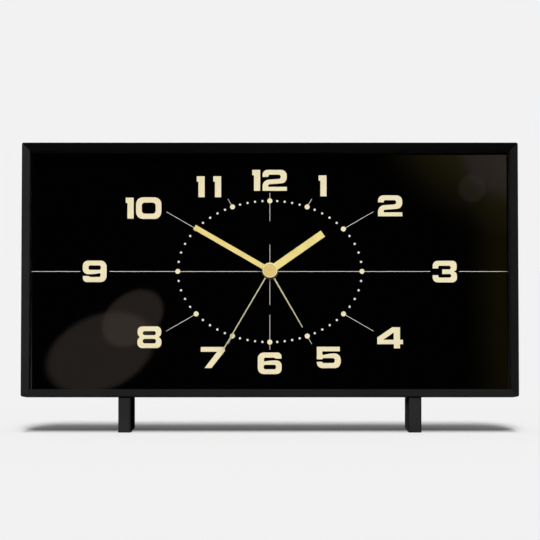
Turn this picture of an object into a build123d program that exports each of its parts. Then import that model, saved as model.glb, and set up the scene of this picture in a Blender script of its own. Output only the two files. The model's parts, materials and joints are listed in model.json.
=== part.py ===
"""Wide table alarm clock: a leaning box case on two plate feet, with a quartz alarm movement.

Sizes are in millimetres and degrees. The case is laid out in its own leaning frame: u runs to
the right, v runs up the face, and depth runs back from the front edge of the bezel.
"""

import os
from math import cos, radians, sin

from build123d import *

os.makedirs("parts", exist_ok=True)

# Case
CASE_WIDTH = 200.0
CASE_HEIGHT = 102.4
CASE_CORNER = 0.8
LEAN = 3.5
FRONT_EDGE_HEIGHT = 14.6
FIT_GAP = 0.1
PRESS_GAP = 0.02

# Bezel, lens and dial, from the front edge backwards
BEZEL_FACE = 3.0
BEZEL_RIM = 0.4
BEZEL_SLOPE = 1.6
BEZEL_LIP = 1.0
SKIRT_WALL = 1.2
LENS_THICKNESS = 2.0
TONGUE_LENGTH = 1.9
DIAL_ROOM = 7.4
DIAL_THICKNESS = 0.8

# Case body behind the dial
BULKHEAD = 2.0
REAR_WALL = 2.2
REAR_WALL_LENGTH = 5.2

# Rear cover
COVER_ROOM = 1.4
COVER_INSET = 7.0
COVER_CORNER = 4.0
COVER_EDGE = 1.8
COVER_WALL = 2.0
LIP_WALL = 1.2
LIP_REACH = 2.5
LIP_ROOT = 3.0
LIP_NOTCH = 10.4
DISH_ROOM = 3.5
DISH_DEPTH = 4.0

# Rear cover screws: one at each corner, into bosses on the bulkhead
COVER_SCREW_INSET = 15.2
BOSS_RADIUS = 3.5
BOSS_LENGTH = 11.0
SCREW_SHANK = 1.3
SCREW_HEAD = 2.6
SCREW_HEAD_HEIGHT = 1.6
SCREW_GRIP = 7.0
SCREW_RECESS = 0.9

# Feet
FOOT_U = 58.5
FOOT_WIDTH = 5.0
FOOT_SETBACK = 3.0
FOOT_DEPTH = 36.0
FOOT_RELIEF = 0.4
FOOT_EDGE = 0.5
FOOT_SCREW_SETBACK = 2.6
FOOT_SCREW_GRIP = 6.0

# Battery bay
BATTERY_RADIUS = 7.25
BATTERY_LENGTH = 49.2
BATTERY_BUTTON = 2.75
BATTERY_BUTTON_LENGTH = 1.3
BATTERY_EDGE = 0.6
BATTERY_GAP = 0.2
CONTACT_ROOM = 2.6
CONTACT_SHEET = 0.4
CONTACT_HEIGHT = 12.0
CONTACT_DISC = 3.4
CONTACT_TIP = 1.7
BAY_CLEARANCE = 1.25
BAY_WALL = 2.2
BAY_ROOM = 0.8
DOOR_THICKNESS = 1.8
DOOR_LEDGE = 1.5
DOOR_GAP = 0.15
DOOR_PLUG = 0.9
DOOR_GRIP_LENGTH = 11.0
DOOR_GRIP_WIDTH = 1.0
DOOR_GRIP_DEPTH = 0.8
DOOR_GRIP_GROOVES = 4
DOOR_GRIP_PITCH = 2.0
DOOR_GRIP_SETBACK = 6.0

# Alarm switch and buzzer
SWITCH_AT = (36.0, 26.0)
SWITCH_TRAVEL = 4.0
SWITCH_STEM_LENGTH = 4.0
SWITCH_STEM_HEIGHT = 3.2
SWITCH_STEM_RISE = 1.4
GRIP_GROOVES = 3
GRIP_PITCH = 1.3
GRIP_GROOVE = 0.5
GRIP_DEPTH = 0.5
SWITCH_FLANGE = 1.6
SWITCH_FLANGE_THICKNESS = 1.3
SWITCH_GAP = 0.15
SWITCH_BODY_WALL = 1.5
SWITCH_BODY_DEPTH = 5.0
BUZZER_AT = (57.5, 0.0)
BUZZER_RADIUS = 11.0
BUZZER_HEIGHT = 4.0
BUZZER_HORN = 2.0
BUZZER_RING = 1.5
SOUND_SLOTS = 5
SOUND_SLOT_LENGTH = 13.0
SOUND_SLOT_WIDTH = 1.4
SOUND_SLOT_PITCH = 3.2

# Movement housing
MOVEMENT_SIZE = 49.0
MOVEMENT_V = -2.0
TRAY_PLATE = 1.7
TRAY_WALL = 1.2
MIDDLE_PLATE = 1.0
REAR_PLATE = 1.4
PLATE_GAP = 0.1
POST_RADIUS = 1.5
POST_INSET = 2.6
EAR_STAND = 0.3
EAR_INSET = 7.5
EAR_RADIUS = 3.2
EAR_SCREW = 1.0
EAR_SCREW_HEAD = 2.0
EAR_SCREW_HEAD_HEIGHT = 1.4
EAR_SCREW_GRIP = 1.5

# Arbors and pipes, one inside the other, each with the same running clearance
RUNNING_GAP = 0.05
SECOND_ARBOR = 0.5
PIPE_WALL = 0.5
BUSHING_WALL = 0.7
THIRD_ARBOR = 0.4
SETTING_ARBOR = 1.0
SETTING_PIVOT = 0.6
END_PLAY = 0.1
PIVOT_DEPTH = 0.8

# Wheel levels
WHEEL = 1.0
PINION_OVERHANG = 0.3
ALARM_LEVEL_STEP = 0.5
HOUR_LEVEL_STEP = 0.6
MINUTE_LEVEL_STEP = 0.8
CENTRE_LEVEL_STEP = 1.0
MIDDLE_PLATE_STEP = 0.8
THIRD_LEVEL_STEP = 0.6
SECOND_LEVEL_STEP = 0.8
STEP_LEVEL_STEP = 0.8
REAR_PLATE_STEP = 0.8

# Teeth
ALARM_TEETH = 40
ALARM_PINION_TEETH = 12
HOUR_TEETH = 40
MINUTE_PINION_TEETH = 10
CANNON_TEETH = 12
MINUTE_WHEEL_TEETH = 36
CENTRE_TEETH = 64
THIRD_PINION_TEETH = 8
THIRD_TEETH = 60
SECOND_PINION_TEETH = 8
SECOND_TEETH = 48
STEP_PINION_TEETH = 8
STEP_TEETH = 40
ROTOR_PINION_TEETH = 8
ADDENDUM = 0.9
DEDENDUM = 1.25
TOOTH_ROOT_SHARE = 0.25
TOOTH_TIP_SHARE = 0.10
SPRING_HUB = 2.1
SPRING_ARMS = 3
SPRING_ARM = 1.1
SPRING_SHEET = 0.3

# How the train fills the tray: free room beside the outermost wheels, and how much finer the
# alarm teeth and the stepping teeth are than the minute teeth and the second teeth
MINUTE_WHEEL_ROOM = 1.85
THIRD_WHEEL_ROOM = 0.7
ALARM_FINENESS = 0.9
STEP_FINENESS = 0.83

# Stepping motor and circuit board
MAGNET_RADIUS = 2.5
MAGNET_LENGTH = 2.8
STATOR_GAP = 0.4
STATOR_SHEET = 0.8
STATOR_MARGIN = 0.9
STATOR_ROOM = 6.3
STATOR_LEG = 4.0
COIL_DROP = 7.2
COIL_ROOM = 1.3
COIL_CORE_WIDTH = 3.0
COIL_CORE_SHEET = 0.8
COIL_FLANGE_RIM = 0.15
COIL_FLANGE_SHEET = 0.8
COIL_TUBE = 2.0
BOARD_SIDE_ROOM = 0.5
BOARD_ARBOR_ROOM = 1.1
BOARD_TOP_ROOM = 4.3
BOARD_STATOR_ROOM = 2.6
BOARD_SHEET = 1.0
BOARD_RISE = 2.2
BOARD_POST_INSET = 3.0
BOARD_POST = 1.2
CRYSTAL_RADIUS = 0.8
CRYSTAL_LENGTH = 6.0
CRYSTAL_DROP = 6.0
CHIP_SIDE = 5.0
CHIP_HEIGHT = 1.0
CHIP_DROP = 2.5
ALARM_LEAF_WIDTH = 3.0
ALARM_LEAF_LENGTH = 15.0
ALARM_LEAF_SHEET = 0.3
ALARM_LEAF_ROOM = 2.8
ALARM_LEAF_V = -9.0

# Setting knobs
KNOB_RADIUS = 6.5
KNOB_GAP = 0.4
KNOB_PROUD = 2.0
KNOB_FLUTES = 12
KNOB_FLUTE = 0.9
KNOB_FACE = 4.6
KNOB_FACE_DEPTH = 0.6
KNOB_SOCKET = 4.0
KNOB_HOLE_GAP = 0.3

# Hands, at ten to two, with the alarm set for five
HAND_SHEET = 0.4
HAND_STEP = 1.2
HOUR_ANGLE = 55.0
HOUR_LENGTH = 26.3
HOUR_WIDTH = 3.0
MINUTE_ANGLE = 300.0
MINUTE_LENGTH = 35.3
MINUTE_WIDTH = 2.05
SECOND_ANGLE = 210.4
SECOND_LENGTH = 37.0
SECOND_ROOT_WIDTH = 0.55
SECOND_TIP_WIDTH = 0.45
ALARM_ANGLE = 150.0
ALARM_LENGTH = 26.5
ALARM_ROOT_WIDTH = 0.7
ALARM_TIP_WIDTH = 0.4
HUB_RADIUS = 2.9
ALARM_HUB_RADIUS = 3.45
CAP_RADIUS = 3.05
CAP_HEIGHT = 0.9
CAP_EDGE = 0.3

# Depths behind the front edge
LENS_FRONT = BEZEL_SLOPE + BEZEL_LIP
LENS_BACK = LENS_FRONT + LENS_THICKNESS
BEZEL_BACK = LENS_BACK + TONGUE_LENGTH
DIAL_FRONT = LENS_BACK + DIAL_ROOM
BULKHEAD_FRONT = DIAL_FRONT + DIAL_THICKNESS
BULKHEAD_BACK = BULKHEAD_FRONT + BULKHEAD
CASE_BACK = BULKHEAD_BACK + REAR_WALL_LENGTH
BOSS_BACK = BULKHEAD_BACK + BOSS_LENGTH
TRAY_INSIDE = BULKHEAD_BACK + TRAY_PLATE
ALARM_LEVEL = TRAY_INSIDE + ALARM_LEVEL_STEP
HOUR_LEVEL = ALARM_LEVEL + WHEEL + HOUR_LEVEL_STEP
MINUTE_LEVEL = HOUR_LEVEL + WHEEL + MINUTE_LEVEL_STEP
CENTRE_LEVEL = MINUTE_LEVEL + WHEEL + CENTRE_LEVEL_STEP
MIDDLE_PLATE_FRONT = CENTRE_LEVEL + WHEEL + MIDDLE_PLATE_STEP
MIDDLE_PLATE_BACK = MIDDLE_PLATE_FRONT + MIDDLE_PLATE
THIRD_LEVEL = MIDDLE_PLATE_BACK + THIRD_LEVEL_STEP
SECOND_LEVEL = THIRD_LEVEL + WHEEL + SECOND_LEVEL_STEP
STEP_LEVEL = SECOND_LEVEL + WHEEL + STEP_LEVEL_STEP
REAR_PLATE_FRONT = STEP_LEVEL + WHEEL + REAR_PLATE_STEP
REAR_PLATE_BACK = REAR_PLATE_FRONT + REAR_PLATE
DISH_FLOOR = REAR_PLATE_BACK + COVER_ROOM + COVER_WALL
COVER_BACK = DISH_FLOOR + DISH_DEPTH
COVER_DEPTH = COVER_BACK - CASE_BACK
COVER_INSIDE = COVER_BACK - COVER_WALL
WALL_ROOT = COVER_BACK - COVER_WALL / 2
BATTERY_AXIS = COVER_BACK - DOOR_THICKNESS - DOOR_PLUG - BATTERY_GAP - BATTERY_RADIUS
BAY_FLOOR = BATTERY_AXIS - BATTERY_RADIUS
ALARM_HAND_BACK = DIAL_FRONT - HAND_STEP
HOUR_HAND_BACK = ALARM_HAND_BACK - HAND_STEP
MINUTE_HAND_BACK = HOUR_HAND_BACK - HAND_STEP
SECOND_HAND_BACK = MINUTE_HAND_BACK - HAND_STEP
SECOND_HAND_FRONT = SECOND_HAND_BACK - HAND_SHEET
STATOR_FRONT = THIRD_LEVEL + WHEEL - PINION_OVERHANG
STATOR_BACK = STATOR_FRONT + STATOR_SHEET
COIL_AXIS = STATOR_BACK + COIL_CORE_SHEET / 2
COIL_FLANGE = COIL_AXIS - MIDDLE_PLATE_BACK - PLATE_GAP
COIL_RADIUS = COIL_FLANGE - COIL_FLANGE_RIM
BOARD_FRONT = MIDDLE_PLATE_BACK + BOARD_RISE
BOARD_BACK = BOARD_FRONT + BOARD_SHEET
KNOB_FRONT = DISH_FLOOR + KNOB_GAP
KNOB_BACK = COVER_BACK + KNOB_PROUD

# Radii of the nested pipes
MINUTE_PIPE_BORE = SECOND_ARBOR + RUNNING_GAP
MINUTE_PIPE = MINUTE_PIPE_BORE + PIPE_WALL
HOUR_PIPE_BORE = MINUTE_PIPE + RUNNING_GAP
HOUR_PIPE = HOUR_PIPE_BORE + PIPE_WALL
ALARM_PIPE_BORE = HOUR_PIPE + RUNNING_GAP
ALARM_PIPE = ALARM_PIPE_BORE + PIPE_WALL
BUSHING_BORE = ALARM_PIPE + RUNNING_GAP
BUSHING = BUSHING_BORE + BUSHING_WALL

# Room inside the movement's tray
TRAY_ROOM = MOVEMENT_SIZE - 2 * TRAY_WALL
TRAY_SIDE = TRAY_ROOM / 2
TRAY_TOP = MOVEMENT_V + TRAY_SIDE
TRAY_BOTTOM = MOVEMENT_V - TRAY_SIDE
POST_SPACING = TRAY_ROOM - 2 * POST_INSET
EAR_U = MOVEMENT_SIZE / 2 + EAR_STAND + EAR_RADIUS
EAR_V = MOVEMENT_SIZE / 2 - EAR_INSET

# Modules and arbor places: the minute wheel fills the tray to its side, the third wheel to its
# top, and the rotor stands over the coil at its bottom
MINUTE_REACH = (CANNON_TEETH + MINUTE_WHEEL_TEETH) / 2 + MINUTE_WHEEL_TEETH / 2 + ADDENDUM
MINUTE_MODULE = (TRAY_SIDE - MINUTE_WHEEL_ROOM) / MINUTE_REACH
TIME_SET_U = MINUTE_MODULE * (CANNON_TEETH + MINUTE_WHEEL_TEETH) / 2
HOUR_MODULE = 2 * TIME_SET_U / (HOUR_TEETH + MINUTE_PINION_TEETH)
ALARM_MODULE = ALARM_FINENESS * MINUTE_MODULE
ALARM_SET_U = -ALARM_MODULE * (ALARM_TEETH + ALARM_PINION_TEETH) / 2
THIRD_REACH = (THIRD_TEETH + SECOND_PINION_TEETH) / 2 + THIRD_TEETH / 2 + ADDENDUM
THIRD_MODULE = (TRAY_TOP - THIRD_WHEEL_ROOM) / THIRD_REACH
THIRD_V = THIRD_MODULE * (THIRD_TEETH + SECOND_PINION_TEETH) / 2
CENTRE_MODULE = 2 * THIRD_V / (CENTRE_TEETH + THIRD_PINION_TEETH)
COIL_V = TRAY_BOTTOM + COIL_ROOM + COIL_FLANGE
ROTOR_V = COIL_V + COIL_DROP
STEP_SPAN = (SECOND_TEETH + STEP_PINION_TEETH) / 2
ROTOR_SPAN = STEP_FINENESS * (STEP_TEETH + ROTOR_PINION_TEETH) / 2
SECOND_MODULE = -ROTOR_V / (STEP_SPAN + ROTOR_SPAN)
STEP_MODULE = STEP_FINENESS * SECOND_MODULE
STEP_V = -SECOND_MODULE * STEP_SPAN
CENTRE = (0, 0)
MOVEMENT_AT = (0, MOVEMENT_V)
TIME_SET_AT = (TIME_SET_U, 0)
ALARM_SET_AT = (ALARM_SET_U, 0)
THIRD_AT = (0, THIRD_V)
STEP_AT = (0, STEP_V)
ROTOR_AT = (0, ROTOR_V)
UP, RIGHT, DOWN, LEFT = 0, 90, 180, 270

# Stator, circuit board and alarm leaf, in the room that the arbors leave
STATOR_HALF_LENGTH = TRAY_SIDE - STATOR_ROOM
STATOR_HOLE = MAGNET_RADIUS + STATOR_GAP
STATOR_TOP = ROTOR_V + STATOR_HOLE + STATOR_MARGIN
BOARD_LEFT = -TRAY_SIDE + BOARD_SIDE_ROOM
BOARD_RIGHT = ALARM_SET_U - SETTING_ARBOR - BOARD_ARBOR_ROOM
BOARD_TOP = TRAY_TOP - BOARD_TOP_ROOM
BOARD_BOTTOM = STATOR_TOP + BOARD_STATOR_ROOM
BOARD_WIDTH = BOARD_RIGHT - BOARD_LEFT
BOARD_HEIGHT = BOARD_TOP - BOARD_BOTTOM
BOARD_U = (BOARD_LEFT + BOARD_RIGHT) / 2
BOARD_V = (BOARD_TOP + BOARD_BOTTOM) / 2
BOARD_AT = (BOARD_U, BOARD_V)
BOARD_POST_SPACING = BOARD_HEIGHT - 2 * BOARD_POST_INSET
ALARM_LEAF_AT = (-TRAY_SIDE + ALARM_LEAF_ROOM + ALARM_LEAF_LENGTH / 2, ALARM_LEAF_V)

# Outlines shared by neighbours
OPENING_WIDTH = CASE_WIDTH - 2 * BEZEL_FACE
OPENING_HEIGHT = CASE_HEIGHT - 2 * BEZEL_FACE
COVER_BACK_WIDTH = CASE_WIDTH - 2 * COVER_INSET
COVER_BACK_HEIGHT = CASE_HEIGHT - 2 * COVER_INSET
COVER_SCREW_U = CASE_WIDTH / 2 - COVER_SCREW_INSET
COVER_SCREW_V = CASE_HEIGHT / 2 - COVER_SCREW_INSET
REAR_ROOM_WIDTH = CASE_WIDTH - 2 * REAR_WALL
REAR_ROOM_HEIGHT = CASE_HEIGHT - 2 * REAR_WALL
DISH_LENGTH = 2 * (TIME_SET_U + KNOB_RADIUS + DISH_ROOM)
DISH_HEIGHT = 2 * (KNOB_RADIUS + DISH_ROOM)
BAY_LENGTH = BATTERY_LENGTH + BATTERY_BUTTON_LENGTH + 2 * CONTACT_ROOM
BAY_HEIGHT = 2 * (BATTERY_RADIUS + BAY_CLEARANCE)
BAY_U = -(MOVEMENT_SIZE / 2 + BAY_ROOM + BAY_WALL + BAY_LENGTH / 2)
BAY_AT = (BAY_U, 0)

# Leaning frame: centred on the case, on the plane of the bezel's front edge
CASE_SINE = sin(radians(LEAN))
CASE_COSINE = cos(radians(LEAN))
COVER_TOP_REACH = COVER_BACK_HEIGHT / 2 * CASE_SINE + COVER_BACK * CASE_COSINE
FRONT_EDGE_REACH = CASE_HEIGHT / 2 * CASE_SINE
FRONT_Y = (FRONT_EDGE_REACH - COVER_TOP_REACH) / 2
FRONT_Z = FRONT_EDGE_HEIGHT + CASE_HEIGHT / 2 * CASE_COSINE
FRONT = Plane((0, FRONT_Y, FRONT_Z), x_dir=(1, 0, 0), z_dir=(0, -CASE_COSINE, CASE_SINE))
BACKWARDS = Axis(FRONT.origin, -FRONT.z_dir)


def behind(depth, at=CENTRE):
    """Plane that faces forward at a depth behind the front edge, centred on a point (u, v)."""
    origin = FRONT.from_local_coords((at[0], at[1], -depth))
    return Plane(origin, x_dir=FRONT.x_dir, z_dir=FRONT.z_dir)


def level(v, at=CENTRE):
    """Plane that faces up the case at a height v, centred on a point (u, depth)."""
    origin = FRONT.from_local_coords((at[0], v, -at[1]))
    return Plane(origin, x_dir=FRONT.x_dir, z_dir=FRONT.y_dir)


def across(u, v, depth):
    """Plane that faces along u, centred on a point of the case."""
    origin = FRONT.from_local_coords((u, v, -depth))
    return Plane(origin, x_dir=-FRONT.z_dir, z_dir=FRONT.x_dir)


def side_point(v, depth):
    """World (y, z) of a point on the case's side view."""
    y = FRONT_Y + v * CASE_SINE + depth * CASE_COSINE
    z = FRONT_Z + v * CASE_COSINE - depth * CASE_SINE
    return (y, z)


def clock_point(radius, angle):
    """Point at a clock angle: 0 is up, 90 is right."""
    return (radius * sin(radians(angle)), radius * cos(radians(angle)))


def gear_outline(teeth, module, tooth_angle):
    """Straight-flanked clockwork teeth, one of them centred on a clock angle."""
    pitch = 360 / teeth
    root = module * (teeth / 2 - DEDENDUM)
    tip = module * (teeth / 2 + ADDENDUM)
    corners = []
    for tooth in range(teeth):
        middle = tooth_angle + tooth * pitch
        corners.append(clock_point(root, middle - TOOTH_ROOT_SHARE * pitch))
        corners.append(clock_point(tip, middle - TOOTH_TIP_SHARE * pitch))
        corners.append(clock_point(tip, middle + TOOTH_TIP_SHARE * pitch))
        corners.append(clock_point(root, middle + TOOTH_ROOT_SHARE * pitch))
    with BuildSketch() as outline:
        with BuildLine():
            Polyline(*corners, close=True)
        make_face()
    return outline.sketch


def gap_at(angle, teeth):
    """Tooth angle that puts a gap between two teeth at a clock angle."""
    return angle + 180 / teeth


def save(part, name):
    """Label a finished piece and write it."""
    part.label = name
    export_step(part, f"parts/{name}.step")


# Bezel: a mitred frame whose face slopes in to the lens, with a skirt over the case's tongue
with BuildPart() as bezel:
    with BuildSketch(behind(BEZEL_BACK)):
        RectangleRounded(CASE_WIDTH, CASE_HEIGHT, CASE_CORNER)
    extrude(amount=BEZEL_BACK)
    with BuildSketch(behind(BEZEL_BACK)):
        Rectangle(CASE_WIDTH - 2 * SKIRT_WALL, CASE_HEIGHT - 2 * SKIRT_WALL)
    extrude(amount=BEZEL_BACK - LENS_FRONT, mode=Mode.SUBTRACT)
    with BuildSketch(behind(LENS_FRONT)):
        Rectangle(OPENING_WIDTH, OPENING_HEIGHT)
    extrude(amount=LENS_FRONT, mode=Mode.SUBTRACT)
    with BuildSketch(behind(BEZEL_SLOPE)):
        Rectangle(OPENING_WIDTH, OPENING_HEIGHT)
    with BuildSketch(behind(0)):
        Rectangle(CASE_WIDTH - 2 * BEZEL_RIM, CASE_HEIGHT - 2 * BEZEL_RIM)
    loft(ruled=True, mode=Mode.SUBTRACT)
save(bezel.part, "bezel")

# Lens: a flat clear sheet held between the bezel's lip and the case's tongue
with BuildPart() as lens:
    with BuildSketch(behind(LENS_BACK)):
        Rectangle(CASE_WIDTH - 2 * (SKIRT_WALL + FIT_GAP), CASE_HEIGHT - 2 * (SKIRT_WALL + FIT_GAP))
    extrude(amount=LENS_THICKNESS)
save(lens.part, "lens")

# Case body: outer wall, dial recess, bulkhead, screw bosses and the holes for the feet
with BuildPart() as case_body:
    with BuildSketch(behind(CASE_BACK)):
        RectangleRounded(CASE_WIDTH, CASE_HEIGHT, CASE_CORNER)
    extrude(amount=CASE_BACK - BEZEL_BACK)
    with BuildSketch(behind(BEZEL_BACK)):
        Rectangle(CASE_WIDTH - 2 * (SKIRT_WALL + FIT_GAP), CASE_HEIGHT - 2 * (SKIRT_WALL + FIT_GAP))
    extrude(amount=TONGUE_LENGTH)
    with BuildSketch(behind(BULKHEAD_FRONT)):
        Rectangle(OPENING_WIDTH, OPENING_HEIGHT)
    extrude(amount=BULKHEAD_FRONT - LENS_BACK, mode=Mode.SUBTRACT)
    with BuildSketch(behind(CASE_BACK)):
        Rectangle(REAR_ROOM_WIDTH, REAR_ROOM_HEIGHT)
    extrude(amount=REAR_WALL_LENGTH, mode=Mode.SUBTRACT)
    with BuildSketch(behind(BOSS_BACK)):
        with GridLocations(2 * COVER_SCREW_U, 2 * COVER_SCREW_V, 2, 2):
            Circle(BOSS_RADIUS)
            Circle(SCREW_SHANK + FIT_GAP, mode=Mode.SUBTRACT)
    extrude(amount=BOSS_LENGTH)
    with BuildSketch(behind(BULKHEAD_BACK)):
        Circle(BUSHING + FIT_GAP)
    extrude(amount=BULKHEAD, mode=Mode.SUBTRACT)
    with BuildSketch(behind(BULKHEAD_BACK, MOVEMENT_AT)):
        with GridLocations(2 * EAR_U, 2 * EAR_V, 2, 2):
            Circle(EAR_SCREW + FIT_GAP)
    extrude(amount=EAR_SCREW_GRIP + FIT_GAP, mode=Mode.SUBTRACT)
    with BuildSketch(level(-CASE_HEIGHT / 2, (0, CASE_BACK - FOOT_SCREW_SETBACK))):
        with GridLocations(2 * FOOT_U, 0, 2, 1):
            Circle(SCREW_SHANK + FIT_GAP)
    extrude(amount=REAR_WALL, mode=Mode.SUBTRACT)
save(case_body.part, "case_body")

# Dial: a thin plate on the bulkhead, round the movement's bushing
with BuildPart() as dial:
    with BuildSketch(behind(BULKHEAD_FRONT)):
        Rectangle(OPENING_WIDTH - 2 * FIT_GAP, OPENING_HEIGHT - 2 * FIT_GAP)
        Circle(BUSHING + FIT_GAP, mode=Mode.SUBTRACT)
    extrude(amount=DIAL_THICKNESS)
save(dial.part, "dial")

# Rear cover: a tapering shell with a lip, a dish for the knobs, a battery bay and sound slots
with BuildPart() as rear_cover:
    with BuildSketch(behind(CASE_BACK)):
        RectangleRounded(CASE_WIDTH, CASE_HEIGHT, CASE_CORNER)
    with BuildSketch(behind(COVER_BACK)):
        RectangleRounded(COVER_BACK_WIDTH, COVER_BACK_HEIGHT, COVER_CORNER)
    loft(ruled=True)
    fillet(rear_cover.faces().sort_by(BACKWARDS)[-1].edges(), COVER_EDGE)
    with BuildSketch(behind(CASE_BACK)):
        Rectangle(CASE_WIDTH - 2 * COVER_WALL, CASE_HEIGHT - 2 * COVER_WALL)
    with BuildSketch(behind(COVER_INSIDE)):
        Rectangle(COVER_BACK_WIDTH - 2 * COVER_WALL, COVER_BACK_HEIGHT - 2 * COVER_WALL)
    loft(ruled=True, mode=Mode.SUBTRACT)
    # lip inside the case body's wall, with a notch over each foot screw
    with BuildSketch(behind(CASE_BACK + LIP_ROOT)):
        Rectangle(REAR_ROOM_WIDTH - 2 * FIT_GAP, REAR_ROOM_HEIGHT - 2 * FIT_GAP)
        Rectangle(
            REAR_ROOM_WIDTH - 2 * (FIT_GAP + LIP_WALL),
            REAR_ROOM_HEIGHT - 2 * (FIT_GAP + LIP_WALL),
            mode=Mode.SUBTRACT,
        )
    extrude(amount=LIP_ROOT + LIP_REACH)
    with BuildSketch(level(-REAR_ROOM_HEIGHT / 2, (0, CASE_BACK - LIP_REACH))):
        with GridLocations(2 * FOOT_U, 0, 2, 1):
            Rectangle(LIP_NOTCH, 2 * LIP_REACH)
    extrude(amount=2 * LIP_WALL + SCREW_HEAD_HEIGHT, mode=Mode.SUBTRACT)
    # walls of the battery bay, of the dish and round the buzzer, and the screw columns
    with BuildSketch(behind(WALL_ROOT, BAY_AT)):
        Rectangle(BAY_LENGTH + 2 * BAY_WALL, BAY_HEIGHT + 2 * BAY_WALL)
    extrude(amount=WALL_ROOT - BAY_FLOOR + COVER_WALL)
    with BuildSketch(behind(WALL_ROOT)):
        SlotOverall(DISH_LENGTH + 2 * COVER_WALL, DISH_HEIGHT + 2 * COVER_WALL)
    extrude(amount=WALL_ROOT - DISH_FLOOR + COVER_WALL)
    with BuildSketch(behind(WALL_ROOT, BUZZER_AT)):
        Circle(BUZZER_RADIUS + FIT_GAP + BUZZER_RING)
        Circle(BUZZER_RADIUS + FIT_GAP, mode=Mode.SUBTRACT)
    extrude(amount=WALL_ROOT - COVER_INSIDE + BUZZER_HEIGHT)
    with BuildSketch(behind(WALL_ROOT)):
        with GridLocations(2 * COVER_SCREW_U, 2 * COVER_SCREW_V, 2, 2):
            Circle(BOSS_RADIUS)
    extrude(amount=WALL_ROOT - BOSS_BACK)
    # battery bay and the seat of its door
    with BuildSketch(behind(COVER_BACK, BAY_AT)):
        Rectangle(BAY_LENGTH, BAY_HEIGHT)
    extrude(amount=COVER_BACK - BAY_FLOOR, mode=Mode.SUBTRACT)
    with BuildSketch(behind(COVER_BACK, BAY_AT)):
        Rectangle(BAY_LENGTH + 2 * DOOR_LEDGE, BAY_HEIGHT + 2 * DOOR_LEDGE)
    extrude(amount=DOOR_THICKNESS, mode=Mode.SUBTRACT)
    # dish with the holes for the setting arbors
    with BuildSketch(behind(COVER_BACK)):
        SlotOverall(DISH_LENGTH, DISH_HEIGHT)
    extrude(amount=DISH_DEPTH, mode=Mode.SUBTRACT)
    with BuildSketch(behind(DISH_FLOOR)):
        with Locations(TIME_SET_AT, ALARM_SET_AT):
            Circle(SETTING_ARBOR + KNOB_HOLE_GAP)
    extrude(amount=COVER_WALL, mode=Mode.SUBTRACT)
    # screw holes, sound slots and the slot for the alarm switch
    with BuildSketch(behind(COVER_BACK)):
        with GridLocations(2 * COVER_SCREW_U, 2 * COVER_SCREW_V, 2, 2):
            Circle(SCREW_SHANK + FIT_GAP)
    extrude(amount=COVER_BACK - BOSS_BACK, mode=Mode.SUBTRACT)
    with BuildSketch(behind(COVER_BACK)):
        with GridLocations(2 * COVER_SCREW_U, 2 * COVER_SCREW_V, 2, 2):
            Circle(SCREW_HEAD + FIT_GAP)
    extrude(amount=SCREW_HEAD_HEIGHT + SCREW_RECESS, mode=Mode.SUBTRACT)
    with BuildSketch(behind(COVER_BACK, BUZZER_AT)):
        with GridLocations(SOUND_SLOT_PITCH, 0, SOUND_SLOTS, 1):
            SlotOverall(SOUND_SLOT_LENGTH, SOUND_SLOT_WIDTH, rotation=90)
    extrude(amount=COVER_WALL, mode=Mode.SUBTRACT)
    with BuildSketch(behind(COVER_BACK, SWITCH_AT)):
        Rectangle(
            SWITCH_STEM_LENGTH + SWITCH_TRAVEL + 2 * SWITCH_GAP, SWITCH_STEM_HEIGHT + 2 * SWITCH_GAP
        )
    extrude(amount=COVER_WALL, mode=Mode.SUBTRACT)
save(rear_cover.part, "rear_cover")

# Rear cover screws: pan heads sunk in the cover's columns
with BuildPart() as rear_cover_screws:
    with BuildSketch(behind(COVER_BACK - SCREW_RECESS)):
        with GridLocations(2 * COVER_SCREW_U, 2 * COVER_SCREW_V, 2, 2):
            Circle(SCREW_HEAD)
    extrude(amount=SCREW_HEAD_HEIGHT)
    with BuildSketch(behind(COVER_BACK - SCREW_RECESS - SCREW_HEAD_HEIGHT)):
        with GridLocations(2 * COVER_SCREW_U, 2 * COVER_SCREW_V, 2, 2):
            Circle(SCREW_SHANK)
    extrude(amount=COVER_BACK - SCREW_RECESS - SCREW_HEAD_HEIGHT - BOSS_BACK + SCREW_GRIP)
save(rear_cover_screws.part, "rear_cover_screws")

# Feet: plates that follow the underside of the case and stand flat on the table
COVER_RISE = COVER_INSET / COVER_DEPTH
FOOT_FRONT_Y = side_point(-CASE_HEIGHT / 2, FOOT_SETBACK)[0]
FOOT_BACK_Y = FOOT_FRONT_Y + FOOT_DEPTH
FOOT_BACK_DEPTH = FOOT_SETBACK + FOOT_DEPTH
FOOT_BACK_V = -CASE_HEIGHT / 2 + (FOOT_BACK_DEPTH - CASE_BACK) * COVER_RISE - FOOT_RELIEF
FOOT_OUTLINE = [
    (FOOT_FRONT_Y, 0),
    (FOOT_BACK_Y, 0),
    (FOOT_BACK_Y, side_point(FOOT_BACK_V, FOOT_BACK_DEPTH)[1]),
    side_point(-CASE_HEIGHT / 2, CASE_BACK + FOOT_RELIEF),
    side_point(-CASE_HEIGHT / 2, FOOT_SETBACK),
]
for foot_name, foot_u in (("left_foot", -FOOT_U), ("right_foot", FOOT_U)):
    with BuildPart() as foot:
        with BuildSketch(Plane.YZ.offset(foot_u - FOOT_WIDTH / 2)):
            with BuildLine():
                Polyline(*FOOT_OUTLINE, close=True)
            make_face()
        extrude(amount=FOOT_WIDTH)
        chamfer(foot.faces().sort_by(Axis.Y)[0].edges().filter_by(Axis.Z), FOOT_EDGE)
        with BuildSketch(level(-CASE_HEIGHT / 2, (foot_u, CASE_BACK - FOOT_SCREW_SETBACK))):
            Circle(SCREW_SHANK + FIT_GAP)
        extrude(amount=-FOOT_SCREW_GRIP - FIT_GAP, mode=Mode.SUBTRACT)
    save(foot.part, foot_name)

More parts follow.
